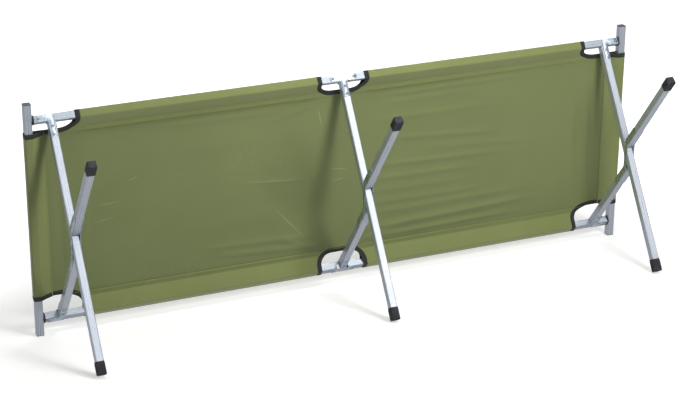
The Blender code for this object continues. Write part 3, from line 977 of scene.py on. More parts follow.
        x = np.concatenate([-half[:0:-1], half])
        v = np.linspace(-1, 1, 111)[:, None]
        reach = np.where(v < 0, self.edge(x, -1)[None, :], self.edge(x, 1)[None, :])
        add_grid(np.broadcast_to(x, reach.shape), v * reach)
        ends = np.array([22.0, 17.0, 15.6, 14.4, 12.0, 8.0, 4.0, 1.2, 0.6, 0.0])[:, None] * MM
        share = np.linspace(0, 1, 4)[:-1, None]
        near = 1e-6
        for side, rail in self.rails.items():
            cut = self.cuts[side]
            for end in (-1, 1):
                sleeve = end * half[(half >= self.middle_half - near) & (half <= self.corner_start + near)]
                first = self.edge(sleeve, side)
                last = rail.under(first)
                inner = rail.rows(cut.middle_depth + cut.middle_round[1], float(last.min()))
                t = np.vstack([first, np.repeat(inner[:, None], len(sleeve), axis=1), last])
                add_grid(np.broadcast_to(sleeve, t.shape), side * t)
            kept = half[(self.edge(half, side) >= rail.seam + 1 * MM) & (half <= self.hem_end + near)]
            strip = np.concatenate([-kept[:0:-1], kept])
            first = rail.under(self.edge(strip, side))
            slope = first * (1 - share) + (rail.total - ends[0]) * share
            t = np.maximum(np.vstack([slope, rail.total - ends + 0 * first]), first)
            add_grid(np.broadcast_to(strip, t.shape), side * t)
        return self.finish_sheet(mesh_piece("cloth_panel_sewn", places, faces, flats))

    def finish_sheet(self, sheet: Piece) -> Piece:
        """Gives a sheet its thickness, with the cloth's face, painted lighter as painted light, on its outer
        side and its coated back inside.

        Args:
            sheet: The sheet as its middle surface.

        Returns:
            The same sheet.
        """
        clean_up(sheet)
        log.info("%s area %.4f m2", sheet.name, sum(p.area for p in sheet.data.polygons))
        highest = max(sheet.data.polygons, key=lambda face: face.center.z)
        for side in ("cloth", "back") if highest.normal.z > 0 else ("back", "cloth"):
            sheet.data.materials.append(self.finishes[side])
        apply_modifier(sheet, "SOLIDIFY", thickness=self.cloth, offset=0.0, material_offset=1)
        return sheet

    def opening_edges(self, side: int) -> list[np.ndarray]:
        """Lists the bound edges on one side.

        Args:
            side: -1 for side A, 1 for side B.

        Returns:
            The left corner's, the right corner's and the middle opening's points on the flat cloth.
        """
        rail, cut = self.rails[side], self.cuts[side]
        (rx, ry), (mx, my) = cut.corner_round, cut.middle_round
        turn = np.linspace(0, math.pi / 2, 19)
        arc_x = self.corner_start + rx * (1 - np.sin(turn))
        arc_y = cut.sleeve_end + ry * (1 - np.cos(turn))
        straight = np.linspace(self.panel_end - 2 * MM, arc_x[0], 9)[:-1]
        over = rail.rows(arc_y[-1], float(rail.under(arc_y[-1])))
        low_x, low_t = arc_x[::-1], rail.under(arc_y[::-1])
        if cut.sleeve_end > rail.seam:
            low_x = np.append(low_x, [self.hem_end - 5 * MM, self.hem_end])
            low_t = np.append(low_t, np.full(2, rail.under(cut.sleeve_end)))
        else:
            keep = arc_y[::-1] > rail.seam
            low_x, low_t = low_x[keep], low_t[keep]
        x = np.concatenate([straight, arc_x, np.full(len(over), self.corner_start), low_x])
        t = np.concatenate([np.full(len(straight), cut.sleeve_end), arc_y, over, low_t])
        lines = [np.stack([end * x, side * t], axis=-1) for end in (-1, 1)]
        quarter_x = self.middle_half - mx + mx * np.sin(turn)
        quarter_y = cut.middle_depth + my * (1 - np.cos(turn))
        flat_x = np.linspace(-quarter_x[0], quarter_x[0], 9)[1:-1]
        over = rail.rows(quarter_y[-1], float(rail.under(quarter_y[-1])))
        right_x = np.concatenate([quarter_x, np.full(len(over), self.middle_half), quarter_x[::-1]])
        right_t = np.concatenate([quarter_y, over, rail.under(quarter_y[::-1])])
        x = np.concatenate([flat_x, right_x, -flat_x, -right_x, flat_x[:1]])
        level_t = np.full(len(flat_x), cut.middle_depth)
        t = np.concatenate([level_t, right_t, rail.under(level_t), right_t[::-1], level_t[:1]])
        return [*lines, np.stack([x, side * t], axis=-1)]

    def fold_tape(self, name: str, edges: list[tuple], place: Callable[..., np.ndarray]) -> Piece:
        """Folds binding tape over some edges of a sheet.

        Args:
            name: The piece's name.
            edges: Each edge's points on the flat sheet, with the directions into the cloth.
            place: Maps flat points onto the bed, at a lift.

        Returns:
            The tape.
        """
        face, (bend, past) = self.cloth / 2 + self.tape_off, self.tape_fold
        folded = [(self.tape, face), (self.tape / 2, face), (bend, face), (past, 0.0)]
        profile = folded + [(w, -h) for w, h in folded[2::-1]]
        places, faces, flats = [], [], []
        for line, into in edges:
            steps = run_lengths(line)
            faces += grid_faces(len(profile), len(line), sum(len(p) for p in places))
            for width, height in profile:
                places.append(place(line + into * width, height))
                flats.append(np.stack([steps, np.full(len(steps), width + height)], axis=-1))
        tape = mesh_piece(name, places, faces, flats)
        apply_modifier(tape, "SOLIDIFY", thickness=self.tape_thickness, offset=0.0)
        tape.data.materials.append(self.finishes["tape"])
        return tape

    def sleeve_surface(self, end: int, y: np.ndarray, t: np.ndarray, lift: float = 0.0) -> np.ndarray:
        """Maps an end sleeve's flat cloth round its bar.

        Args:
            end: -1 at the left bar, 1 at the right one.
            y: Places across the bed.
            t: Lengths from the sleeve's upper edge, over and round the bar.
            lift: How far off the cloth's middle the points are.

        Returns:
            One point for each pair.
        """
        bar = self.bars[end]
        y, t = np.broadcast_arrays(np.asarray(y, float), np.asarray(t, float))
        left = bar.total - t
        rise, reach = self.tip_rise
        free = smooth_step(t / self.sleeve_ease) * smooth_step(left / self.sleeve_ease)
        slack = self.sleeve_slack * np.abs(rumple(y, t, (16, 24), 9.4 + end)) * free
        tip = rise * np.clip(1 - left / reach, 0, 1) * smooth_step(left / self.lip)
        x, z = bar.place(t, lift + slack + tip)
        return np.stack([x, y, z], axis=-1)

    def build_end_sleeve(self, end: int, word: str) -> Piece:
        """Builds the cloth round one end bar.

        Args:
            end: -1 at the left bar, 1 at the right one.
            word: The end's name.

        Returns:
            The sleeve.
        """
        bar = self.bars[end]
        y = np.linspace(-self.cuts[-1].sleeve_end, self.cuts[1].sleeve_end, 67)
        inner = bar.rows(0.0, bar.total)
        slope = np.linspace(0, 1, 7)
        tip = bar.total - np.array([8.0, 6.0, 4.0, 2.4, 1.2, 0.6]) * MM
        runs = [slope * inner[0], inner, inner[-1] + slope * (bar.total - inner[-1]), tip]
        t = np.unique(np.round(np.concatenate(runs), 7))
        grid_t, grid_y = np.meshgrid(t, y, indexing="ij")
        places = self.sleeve_surface(end, grid_y, grid_t).reshape(-1, 3)
        flat = np.stack([grid_t, grid_y], axis=-1).reshape(-1, 2)
        faces = grid_faces(len(t), len(y))
        return self.finish_sheet(mesh_piece(f"end_sleeve_{word}_sewn", [places], faces, [flat]))

    def sew(self, name: str, lines: list[np.ndarray]) -> Piece:
        """Sews rows of stitches along some lines of points.

        Args:
            name: The piece's name.
            lines: Points on the cloth's face, close together.

        Returns:
            All the stitches as one mesh.
        """
        curve = bpy.data.curves.new(name, "CURVE")
        curve.dimensions = "3D"
        curve.bevel_depth = self.thread / 2
        curve.bevel_resolution = 0
        curve.use_fill_caps = True
        for line in lines:
            steps = run_lengths(line)
            for first in np.arange(0, steps[-1] - self.stitch_length, self.stitch_pitch):
                at = first + self.stitch_length * np.array([0, 0.25, 0.75, 1])
                spots = np.stack([np.interp(at, steps, line[:, i]) for i in range(3)], axis=-1)
                thread = curve.splines.new("POLY")
                thread.points.add(3)
                thread.points.foreach_set("co", np.hstack([spots, np.ones((4, 1))]).ravel())
                for point, slim in zip(thread.points, (0.5, 1.0, 1.0, 0.5)):
                    point.radius = slim
        obj = bpy.data.objects.new(name, curve)
        bpy.context.scene.collection.objects.link(obj)
        select_only(obj)
        bpy.ops.object.convert(target="MESH")
        made = bpy.context.object
        made.data.materials.clear()
        made.data.materials.append(self.finishes["thread"])
        return made

    def trim_side(self, side: int, word: str) -> list[Piece]:
        """Binds the openings of one side and sews its sleeve's seams.

        Args:
            side: -1 for side A, 1 for side B.
            word: The side's letter.

        Returns:
            The tape and the thread.
        """
        rail, face = self.rails[side], self.cloth / 2
        limit = rail.total - self.tape_thickness
        edges = [(line, inward(line)) for line in self.opening_edges(side)]
        tape = self.fold_tape(
            f"panel_binding_{word}",
            edges,
            lambda spot, lift: self.surface(spot[:, 0], np.clip(spot[:, 1], -limit, limit), lift),
        )
        rows = []
        for from_edge in self.stitch_rows:
            for end in (-1, 1):
                x = end * np.arange(self.side_seam[0], self.side_seam[1] - from_edge, self.seam_step)
                for t in (rail.seam + from_edge, rail.total - from_edge):
                    rows.append(self.surface(x, side * t, face))
        trim = [tape, self.sew(f"side_seam_{word}", rows)]
        for piece in trim:
            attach(piece, f"frame_{word}")
        return trim

    def hang_end_sleeve(self, end: int, word: str) -> None:
        """Builds one end sleeve with its binding and seams, and hangs it on its bar.

        Args:
            end: -1 at the left bar, 1 at the right one.
            word: The end's name.
        """
        bar = self.bars[end]
        sleeve = self.build_end_sleeve(end, word)
        t = np.unique(np.round(np.concatenate([np.linspace(0, bar.total, 30), bar.rows(0.0, bar.total)]), 7))
        edges = []
        for side, cut in self.cuts.items():
            line = np.stack([t, np.full(len(t), side * cut.sleeve_end)], axis=-1)
            edges.append((line, np.array([0, -side])))
        tape = self.fold_tape(
            f"end_sleeve_{word}_binding",
            edges,
            lambda spot, lift: self.sleeve_surface(end, spot[:, 1], spot[:, 0], lift),
        )
        y = np.arange(*self.end_seam, self.seam_step)
        lengths = [t for from_edge in self.stitch_rows for t in (from_edge, bar.total - from_edge)]
        thread = self.sew(f"end_seam_{word}", [self.sleeve_surface(end, y, t, self.cloth / 2) for t in lengths])
        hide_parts(f"end_sleeve_{word}")
        for piece in (sleeve, tape, thread):
            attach(piece, f"end_bar_{word}")
            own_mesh(piece)

    def build(self) -> None:
        """Builds and hangs all the cloth."""
        panel = self.build_panel()
        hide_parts("cloth_panel")
        sewn = [*self.trim_side(-1, "a"), *self.trim_side(1, "b")]
        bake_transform(panel)
        for word, end in ENDS.items():
            self.hang_end_sleeve(end, word)


@dataclass
class Bench:
    """One piece on the workbench: a primitive that is cut, drawn out and rounded in edit mode."""

    name: str
    obj: Piece | None = None

    def block(self, low: Triple, high: Triple) -> "Bench":
        """Starts from a block between two corners.

        Args:
            low: The lowest corner.
            high: The highest corner.

        Returns:
            The bench.
        """
        bpy.ops.object.select_all(action="DESELECT")
        middle = [(a + b) / 2 for a, b in zip(low, high)]
        size = [b - a for a, b in zip(low, high)]
        bpy.ops.mesh.primitive_cube_add(size=1, location=middle, scale=size)
        return self.take()

    def disc(self, radius: float, low: float, high: float, sides: int) -> "Bench":
        """Starts from a round bar along Z.

        Args:
            radius: Its radius.
            low: Where it starts.
            high: Where it ends.
            sides: Its number of sides.

        Returns:
            The bench.
        """
        bpy.ops.object.select_all(action="DESELECT")
        place = (0, 0, (low + high) / 2)
        bpy.ops.mesh.primitive_cylinder_add(vertices=sides, radius=radius, depth=high - low, location=place)
        return self.take()

    def take(self) -> "Bench":
        """Takes the new primitive as the piece, with its place in its mesh.

        Returns:
            The bench.
        """
        self.obj = bpy.context.object
        self.obj.name = self.name
        bpy.ops.object.transform_apply(location=True, rotation=True, scale=True)
        bpy.ops.object.mode_set(mode="EDIT")
        return self

    def cut(self, place: Triple, normal: Triple) -> "Bench":
        """Cuts across the whole piece with a plane, and keeps both sides.

        Args:
            place: A point on the plane.
            normal: Its normal.

        Returns:
            The bench.
        """
        bpy.ops.mesh.select_all(action="SELECT")
        bpy.ops.mesh.bisect(plane_co=place, plane_no=normal)
        return self

    def start_pick(self, kind: str) -> bmesh.types.BMesh:
        """Deselects everything, to select faces or edges.

        Args:
            kind: FACE or EDGE.

        Returns:
            The piece's open mesh.
        """
        bpy.ops.mesh.select_mode(type=kind)
        bpy.ops.mesh.select_all(action="DESELECT")
        return bmesh.from_edit_mesh(self.obj.data)

    def end_pick(self, work: bmesh.types.BMesh) -> "Bench":
        """Keeps the selection made in the open mesh.

        Args:
            work: The open mesh.

        Returns:
            The bench.
        """
        work.select_flush_mode()
        bmesh.update_edit_mesh(self.obj.data)
        return self

    def pick_faces(self, test: Test) -> "Bench":
        """Selects the faces whose middle and normal pass a test.

        Args:
            test: The test.

        Returns:
            The bench.
        """
        work = self.start_pick("FACE")
        for face in work.faces:
            face.select = bool(test(face.calc_center_median(), face.normal))
        return self.end_pick(work)

    def pick_edges(self, test: Test) -> "Bench":
        """Selects the edges whose middle and direction pass a test.

        Args:
            test: The test.

        Returns:
            The bench.
        """
        work = self.start_pick("EDGE")
        for edge in work.edges:
            a, b = (v.co for v in edge.verts)
            edge.select = bool(test((a + b) / 2, (b - a).normalized()))
        return self.end_pick(work)

    def bevel(self, width: float, segments: int) -> "Bench":
        """Rounds the selected edges."""
        bpy.ops.mesh.bevel(offset=width, segments=segments, affect="EDGES", clamp_overlap=True)
        return self

    def draw_out(self, step: Triple) -> "Bench":
        """Extrudes the selected faces by a step."""
        bpy.ops.mesh.extrude_region_move(TRANSFORM_OT_translate={"value": step})
        return self

    def inset(self, width: float, depth: float = 0.0) -> "Bench":
        """Insets the selected faces, and raises them by a depth."""
        bpy.ops.mesh.inset(thickness=width, depth=depth)
        return self

    def finish(self, smooth: float) -> Piece:
        """Closes the work: merges doubles, turns the faces outwards and shades the round parts smooth.

        Args:
            smooth: The angle in degrees past which an edge stays sharp.

        Returns:
            The piece.
        """
        bpy.ops.mesh.select_all(action="SELECT")
        bpy.ops.mesh.remove_doubles(threshold=0.005 * MM)
        bpy.ops.mesh.normals_make_consistent(inside=False)
        bpy.ops.object.mode_set(mode="OBJECT")
        select_only(self.obj)
        bpy.ops.object.shade_smooth_by_angle(angle=math.radians(smooth))
        return self.obj


def copy_piece(pattern: Piece, name: str, place: Matrix) -> Piece:
    """Copies a piece with its own mesh and puts the copy's mesh in place.

    Args:
        pattern: The piece to copy.
        name: The copy's name.
        place: Where it goes; a mirroring place turns its faces right again.

    Returns:
        The copy.
    """
    copy = pattern.copy()
    copy.data = pattern.data.copy()
    copy.name = name
    copy.data.name = name
    copy.data.transform(place)
    if place.determinant() < 0:
        copy.data.flip_normals()
    bpy.context.scene.collection.objects.link(copy)
    return copy


def join_pieces(*pieces: Piece) -> Piece:
    """Joins some pieces into the first one.

    Args:
        pieces: The pieces.

    Returns:
        The joined piece.
    """
    select_only(*pieces)
    bpy.ops.object.join()
    return pieces[0]


def shift(x: float, y: float, z: float) -> Matrix:
    """Makes a plain move."""
    return Matrix.Translation((x, y, z))


def quarter_turn(way: int, axis: str) -> Matrix:
    """Makes a quarter turn about an axis, one way or the other."""
    return Matrix.Rotation(way * math.pi / 2, 4, axis)


def mirror(way: int, axis: Triple) -> Matrix:
    """Mirrors along an axis where the way is -1."""
    return Matrix.Scale(way, 4, axis)


def upright(x: float, z: float, near: float = 0.5 * MM) -> Test:
    """Makes a test for the edges that run through a plate at one corner of its outline."""
    return lambda c, d: abs(d.y) > 0.99 and abs(c.x - x) < near and abs(c.z - z) < near


def stand_flat(piece: Piece) -> None:
    """Cuts a cap flat along the floor, and closes the cut.

    Args:
        piece: The cap, in place.
    """
    select_only(piece)
    bpy.ops.object.mode_set(mode="EDIT")
    bpy.ops.mesh.select_all(action="SELECT")
    bpy.ops.mesh.bisect(plane_co=(0, 0, 0), plane_no=(0, 0, -1), use_fill=True, clear_outer=True)
    bpy.ops.object.mode_set(mode="OBJECT")


@dataclass(frozen=True)
class SideFrame:
    """Where one rigid side stands: Z runs up its legs, and its Y faces carry the plates."""

    letter: str
    place: Matrix
    rail_y: float
    rail_z: float
    foot_y: float
    foot_z: float


@dataclass
class Fittings:
    """The plates, rivets and foot caps, with the fine edges, domes and ribs that the solids leave out.

    A plate is modelled in XZ and faces +Y from y = 0.
    """

    finishes: dict[str, bpy.types.Material]
    foot_reach: float = 365 * MM
    rail_y: float = 300 * MM
    end_leg_x: float = 873 * MM
    end_rivet_x: float = 912 * MM
    tube: float = 22 * MM
    clearance: float = 0.3 * MM
    plate: float = 1.5 * MM
    plate_rim: float = 0.35 * MM
    rail_arm: float = 18 * MM
    leg_arm: float = 17 * MM
    t_leg_arm: float = 19 * MM
    middle_rivet_x: float = 33 * MM
    leg_rivets: Pair = (25 * MM, 49 * MM)
    plate_tail: float = 8 * MM
    plate_corner: float = 4 * MM
    plate_fillet: float = 8 * MM
    elbow_offset: float = 25 * MM
    elbow_width: float = 20 * MM
    elbow_plate: float = 2 * MM
    elbow_rivets: Pair = (36 * MM, 102 * MM)
    rivet_head: Pair = (8.5 * MM, 1.4 * MM)
    pivot_head: Pair = (13 * MM, 2.0 * MM)
    rivet_sunk: float = 0.4 * MM
    dome: tuple[Pair, ...] = ((0.16, 0.30), (0.20, 0.22), (0.22, 0.13), (0.10, -0.10), (0.12, -0.22))
    cap: float = 26 * MM
    cap_length: float = 38 * MM
    cap_round: float = 3.5 * MM
    cap_collar: float = 4.5 * MM
    cap_toe: float = 5.0 * MM
    cap_edge: float = 3.0 * MM
    socket: float = 6 * MM
    foot_flat: float = 5 * MM
    rib_pitch: float = 2.6 * MM
    rib_height: float = 0.55 * MM
    rib_inset: float = 0.22 * MM

    def __post_init__(self) -> None:
        """Works out where both sides stand, from the legs' angle and reach."""
        self.inner = self.tube / 2 + self.clearance
        self.legs = {"left": -self.end_leg_x, "middle": 0.0, "right": self.end_leg_x}
        tilt, bend = STRAIGHT_TILT, self.elbow_offset
        reach = self.rail_y / math.cos(tilt)
        split = tilt + math.asin(bend / reach)
        cut_a, cut_b = (self.foot_flat * math.sin(a) * math.cos(a) for a in (tilt, split))
        pivot_z = self.foot_reach * math.sin(tilt) + self.cap / 2 * math.cos(tilt) - cut_a
        foot_b = (pivot_z + (bend - self.cap / 2) * math.cos(split) + cut_b) / math.sin(split)
        turns = (math.pi / 2 - tilt, split - math.pi / 2)
        place_a, place_b = (shift(0, 0, pivot_z) @ Matrix.Rotation(turn, 4, "X") for turn in turns)
        self.sides = (
            SideFrame("a", place_a, 0.0, reach, 0.0, -self.foot_reach),
            SideFrame("b", place_b, bend, math.sqrt(reach**2 - bend**2), -bend, -foot_b),
        )

    def hang(self, piece: Piece, node: str, letter: str) -> None:
        """Lets a finished piece stand for its node.

        Args:
            piece: The piece, in place.
            node: The CAD node that it replaces.
            letter: Its side.
        """
        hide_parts(node)
        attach(piece, f"frame_{letter}")
        log.info("%s stands for %s", piece.name, node)

    def model_rivet(self, head: Pair, name: str, sides: int = 24) -> Piece:
        """Models a tubular rivet's head on z = 0: a low dome with the dimple that the setting tool leaves.

        Args:
            head: Its width and height.
            name: The piece's name.
            sides: Its number of sides.

        Returns:
            The head.
        """
        radius, height = head[0] / 2, head[1]
        bench = Bench(name).disc(radius, -self.rivet_sunk, 0.35 * height, sides)
        bench.pick_faces(lambda c, n: n.z > 0.9)
        for width, rise in self.dome:
            bench.inset(width * radius, rise * height)
        rivet = bench.finish(60)
        rivet.data.materials.append(self.finishes["rivet"])
        return rivet

    def model_plate(self, bench: Bench, rivets: list[Pair]) -> Piece:
        """Rounds a pressed plate's rim and sets its rivets.

        Args:
            bench: The plate's outline, already rounded.
            rivets: The places of its fixed rivets.

        Returns:
            The plate with its rivets.
        """
        bench.start_pick("EDGE")
        bpy.ops.mesh.edges_select_sharp(sharpness=math.radians(60))
        plate = bench.bevel(self.plate_rim, 2).finish(32)
        plate.data.materials.append(self.finishes["zinc"])
        rivet = self.model_rivet(self.rivet_head, "plate_rivet")
        turn = quarter_turn(-1, "X")
        heads = [copy_piece(rivet, "plate_rivet_head", shift(x, self.plate, z) @ turn) for x, z in rivets]
        bpy.data.objects.remove(rivet)
        return join_pieces(plate, *heads)

    def model_arm_plate(
        self, name: str, edges: dict[int, float], reach: float, corners: tuple[Pair, ...]
    ) -> Piece:
        """Models a plate whose leg arm hangs down, with a rail arm drawn out of its top to one side or to both.

        Args:
            name: The piece's name.
            edges: The leg arm's edge on each side that a rail arm is drawn out of, by the way it runs.
            reach: How far a rail arm reaches from the leg's middle line.
            corners: The leg arm's own corners.

        Returns:
            The plate with its rivets.
        """
        arm, across = self.rail_arm / 2, [x for x, _ in corners]
        low, high, bottom = min(across), max(across), min(z for _, z in corners)
        bench = Bench(name).block((low, 0, bottom), (high, self.plate, arm)).cut((0, 0, -arm), (0, 0, 1))
        for way, edge in edges.items():
            bench.pick_faces(lambda c, n: n.x * way > 0.9 and c.z > -arm).draw_out((way * reach - edge, 0, 0))
            bench.pick_edges(upright(edge, -arm)).bevel(self.plate_fillet, 6)
        for way in edges:
            for z in (arm, -arm):
                bench.pick_edges(upright(way * reach, z)).bevel(arm * 0.98, 8)
        for x, z in corners:
            bench.pick_edges(upright(x, z)).bevel(self.plate_corner, 5)
        return self.model_plate(bench, [((low + high) / 2, -depth) for depth in self.leg_rivets])

    def model_elbow(self) -> Piece:
        """Models the bent elbow plate: an arm at each end of a slant through the pivot.

        Returns:
            The plate with its rivets.
        """
        half, bend = self.elbow_width / 2, self.elbow_offset
        near, far = self.elbow_rivets
        bench = Bench("elbow_plate").block((-half, 0, -near), (half, self.elbow_plate, near))
        for way in (-1, 1):
            bench.pick_faces(lambda c, n: n.z * way > 0.9)
            bpy.ops.transform.translate(value=(way * bend, 0, 0))
            bench.draw_out((0, 0, way * (far - near + half)))
        mitre = half * math.tan(math.atan2(bend, near) / 2)
        for way in (-1, 1):
            for edge in (-1, 1):
                bench.pick_edges(upright(way * bend + edge * half, way * near))
                bpy.ops.transform.translate(value=(0, 0, edge * mitre))
            for edge in (-1, 1):
                bench.pick_edges(upright(way * bend + edge * half, way * (far + half))).bevel(half * 0.98, 8)
        return self.model_plate(bench, [(way * bend, way * along) for way in (-1, 1) for along in (near, far)])

    def model_cap(self) -> Piece:
        """Models a foot cap on a leg's end along +Z: a rounded end, a socket and fine ribs along its sides.

        Returns:
            The cap.
        """
        half, mouth = self.cap / 2 - self.rib_height, self.tube / 2 + self.clearance
        low, high = self.cap_toe, self.cap_length - self.cap_collar
        bench = Bench("foot_cap").block((-half, -half, 0), (half, half, self.cap_length))
        bench.pick_faces(lambda c, n: n.z > 0.9).inset(half - mouth).draw_out((0, 0, -self.socket))
        bench.pick_edges(lambda c, d: abs(d.z) > 0.99 and c.xy.length > half * 1.2).bevel(self.cap_round, 5)
        bench.pick_edges(lambda c, d: abs(d.z) < 0.01 and c.z < 0.01 * MM).bevel(self.cap_edge, 4)
        count = int((half - self.cap_round) / self.rib_pitch)
        for z in (low, high):
            bench.cut((0, 0, z), (0, 0, 1))
        for axis in ((1, 0, 0), (0, 1, 0)):
            for i in range(-2 * count - 1, 2 * count + 2):
                bench.cut(tuple(a * i * self.rib_pitch / 2 for a in axis), axis)

        def on_rib(c: Vector, n: Vector) -> bool:
            """Tells whether a face lies on a rib.

            Args:
                c: Its middle.
                n: Its normal.

            Returns:
                Whether it does.
            """
            if abs(n.z) > 0.1 or max(abs(n.x), abs(n.y)) < 0.99 or not low < c.z < high:
                return False
            if max(abs(c.x), abs(c.y)) < half - 0.01 * MM:
                return False
            along = (c.y if abs(n.x) > 0.9 else c.x) / self.rib_pitch
            return abs(along) < count + 0.6 and round(along * 2 - 0.5) % 2 == 0

        bench.pick_faces(on_rib).inset(self.rib_inset, self.rib_height)
        bench.pick_faces(lambda c, n: abs(n.z) < 0.1 and c.z > high and c.xy.length > mouth + 0.4 * MM)
        bpy.ops.mesh.extrude_region_shrink_fatten(TRANSFORM_OT_shrink_fatten={"value": -self.rib_height * 0.9})
        cap = bench.finish(34)
        cap.data.materials.append(self.finishes["plastic"])
        return cap

    def fit_side(self, side: SideFrame, l_plate: Piece, t_plate: Piece, cap: Piece, small: Piece) -> None:
        """Puts the caps on one side's feet, and the plates and rivets on its rail.

        Args:
            side: The side.
            l_plate: The pattern of the end legs' plates.
            t_plate: The pattern of the middle leg's plates.
            cap: The pattern of the foot caps.
            small: The pattern of the small rivets' heads.
        """
        letter, rail = side.letter, side.place @ shift(0, side.rail_y, side.rail_z)
        for end, x in self.legs.items():
            place = side.place @ shift(x, side.foot_y, side.foot_z)
            foot = copy_piece(cap, f"ribbed_cap_{letter}_{end}", place)
            stand_flat(foot)
            self.hang(foot, f"foot_cap_{letter}_{end}", letter)
        for word, face in (("top", 1), ("under", -1)):
            way = face if letter == "a" else -face
            out = mirror(way, (0, 1, 0))
            for end, sign in ENDS.items():
                place = rail @ shift(sign * self.end_leg_x, way * self.inner, 0) @ mirror(sign, (1, 0, 0)) @ out
                plate = copy_piece(l_plate, f"pressed_l_plate_{letter}_{end}_{word}", place)
                self.hang(plate, f"l_plate_{letter}_{end}_{word}", letter)
            place = rail @ shift(0, way * self.inner, 0) @ out
            pieces = [copy_piece(t_plate, f"pressed_t_plate_{letter}_{word}", place)]
            for x in (-self.middle_rivet_x, self.middle_rivet_x):
                spot = rail @ shift(x, way * (self.inner + self.plate), 0) @ quarter_turn(-way, "X")
                pieces.append(copy_piece(small, "rail_rivet", spot))
            self.hang(join_pieces(*pieces), f"t_plate_{letter}_{word}", letter)
        reach = self.inner + self.plate + self.clearance
        for end, sign in ENDS.items():
            heads = []
            for way in (-1, 1):
                spot = rail @ shift(sign * self.end_rivet_x, way * reach, 0) @ quarter_turn(-way, "X")
                heads.append(copy_piece(small, f"end_rivet_head_{letter}_{end}", spot))
            self.hang(join_pieces(*heads), f"end_rivet_{letter}_{end}", letter)

    def fit_crossing(self, end: str, x: float, elbow: Piece, pivot: Piece) -> None:
        """Puts the elbow plates and the scissor rivet on one leg set.

        Args:
            end: The leg set's name.
            x: Its place along the bed.
            elbow: The pattern of the elbow plates.
            pivot: The pattern of the pivot's heads.
        """
        straight, split = self.sides
        swapped = Matrix(((0, 1, 0, 0), (1, 0, 0, 0), (0, 0, 1, 0), (0, 0, 0, 1)))
        for number, way in ((1, -1), (2, 1)):
            place = split.place @ shift(x + way * self.inner, 0, 0) @ mirror(way, (1, 0, 0)) @ swapped
            plate = copy_piece(elbow, f"pressed_elbow_{end}_{number}", place)
            self.hang(plate, f"elbow_plate_{end}_{number}", "b")
        reach = self.inner + self.elbow_plate + self.clearance
        heads = []
        for way in (-1, 1):
            spot = straight.place @ shift(x + way * reach, 0, 0) @ quarter_turn(way, "Y")
            heads.append(copy_piece(pivot, f"pivot_rivet_{end}", spot))
        self.hang(join_pieces(*heads), f"scissor_rivet_{end}", "a")

    def build(self) -> None:
        """Builds all the fittings from one pattern of each kind."""
        half, outer, arm = self.t_leg_arm / 2, self.tube / 2, self.rail_arm / 2
        inner, bottom = outer - self.leg_arm, -(self.leg_rivets[1] + self.plate_tail)
        corners = ((inner, arm), (inner, bottom), (outer, bottom))
        l_plate = self.model_arm_plate("l_plate", {1: outer}, self.end_rivet_x - self.end_leg_x + arm, corners)
        corners = ((-half, bottom), (half, bottom))
        t_plate = self.model_arm_plate("t_plate", {-1: -half, 1: half}, self.middle_rivet_x + arm, corners)
        elbow, cap = self.model_elbow(), self.model_cap()
        pivot = self.model_rivet(self.pivot_head, "pivot_head", 32)
        small = self.model_rivet(self.rivet_head, "small_head")
        for side in self.sides:
            self.fit_side(side, l_plate, t_plate, cap, small)
        for end, x in self.legs.items():
            self.fit_crossing(end, x, elbow, pivot)
        for pattern in (l_plate, t_plate, elbow, cap, pivot, small):
            bpy.data.objects.remove(pattern)


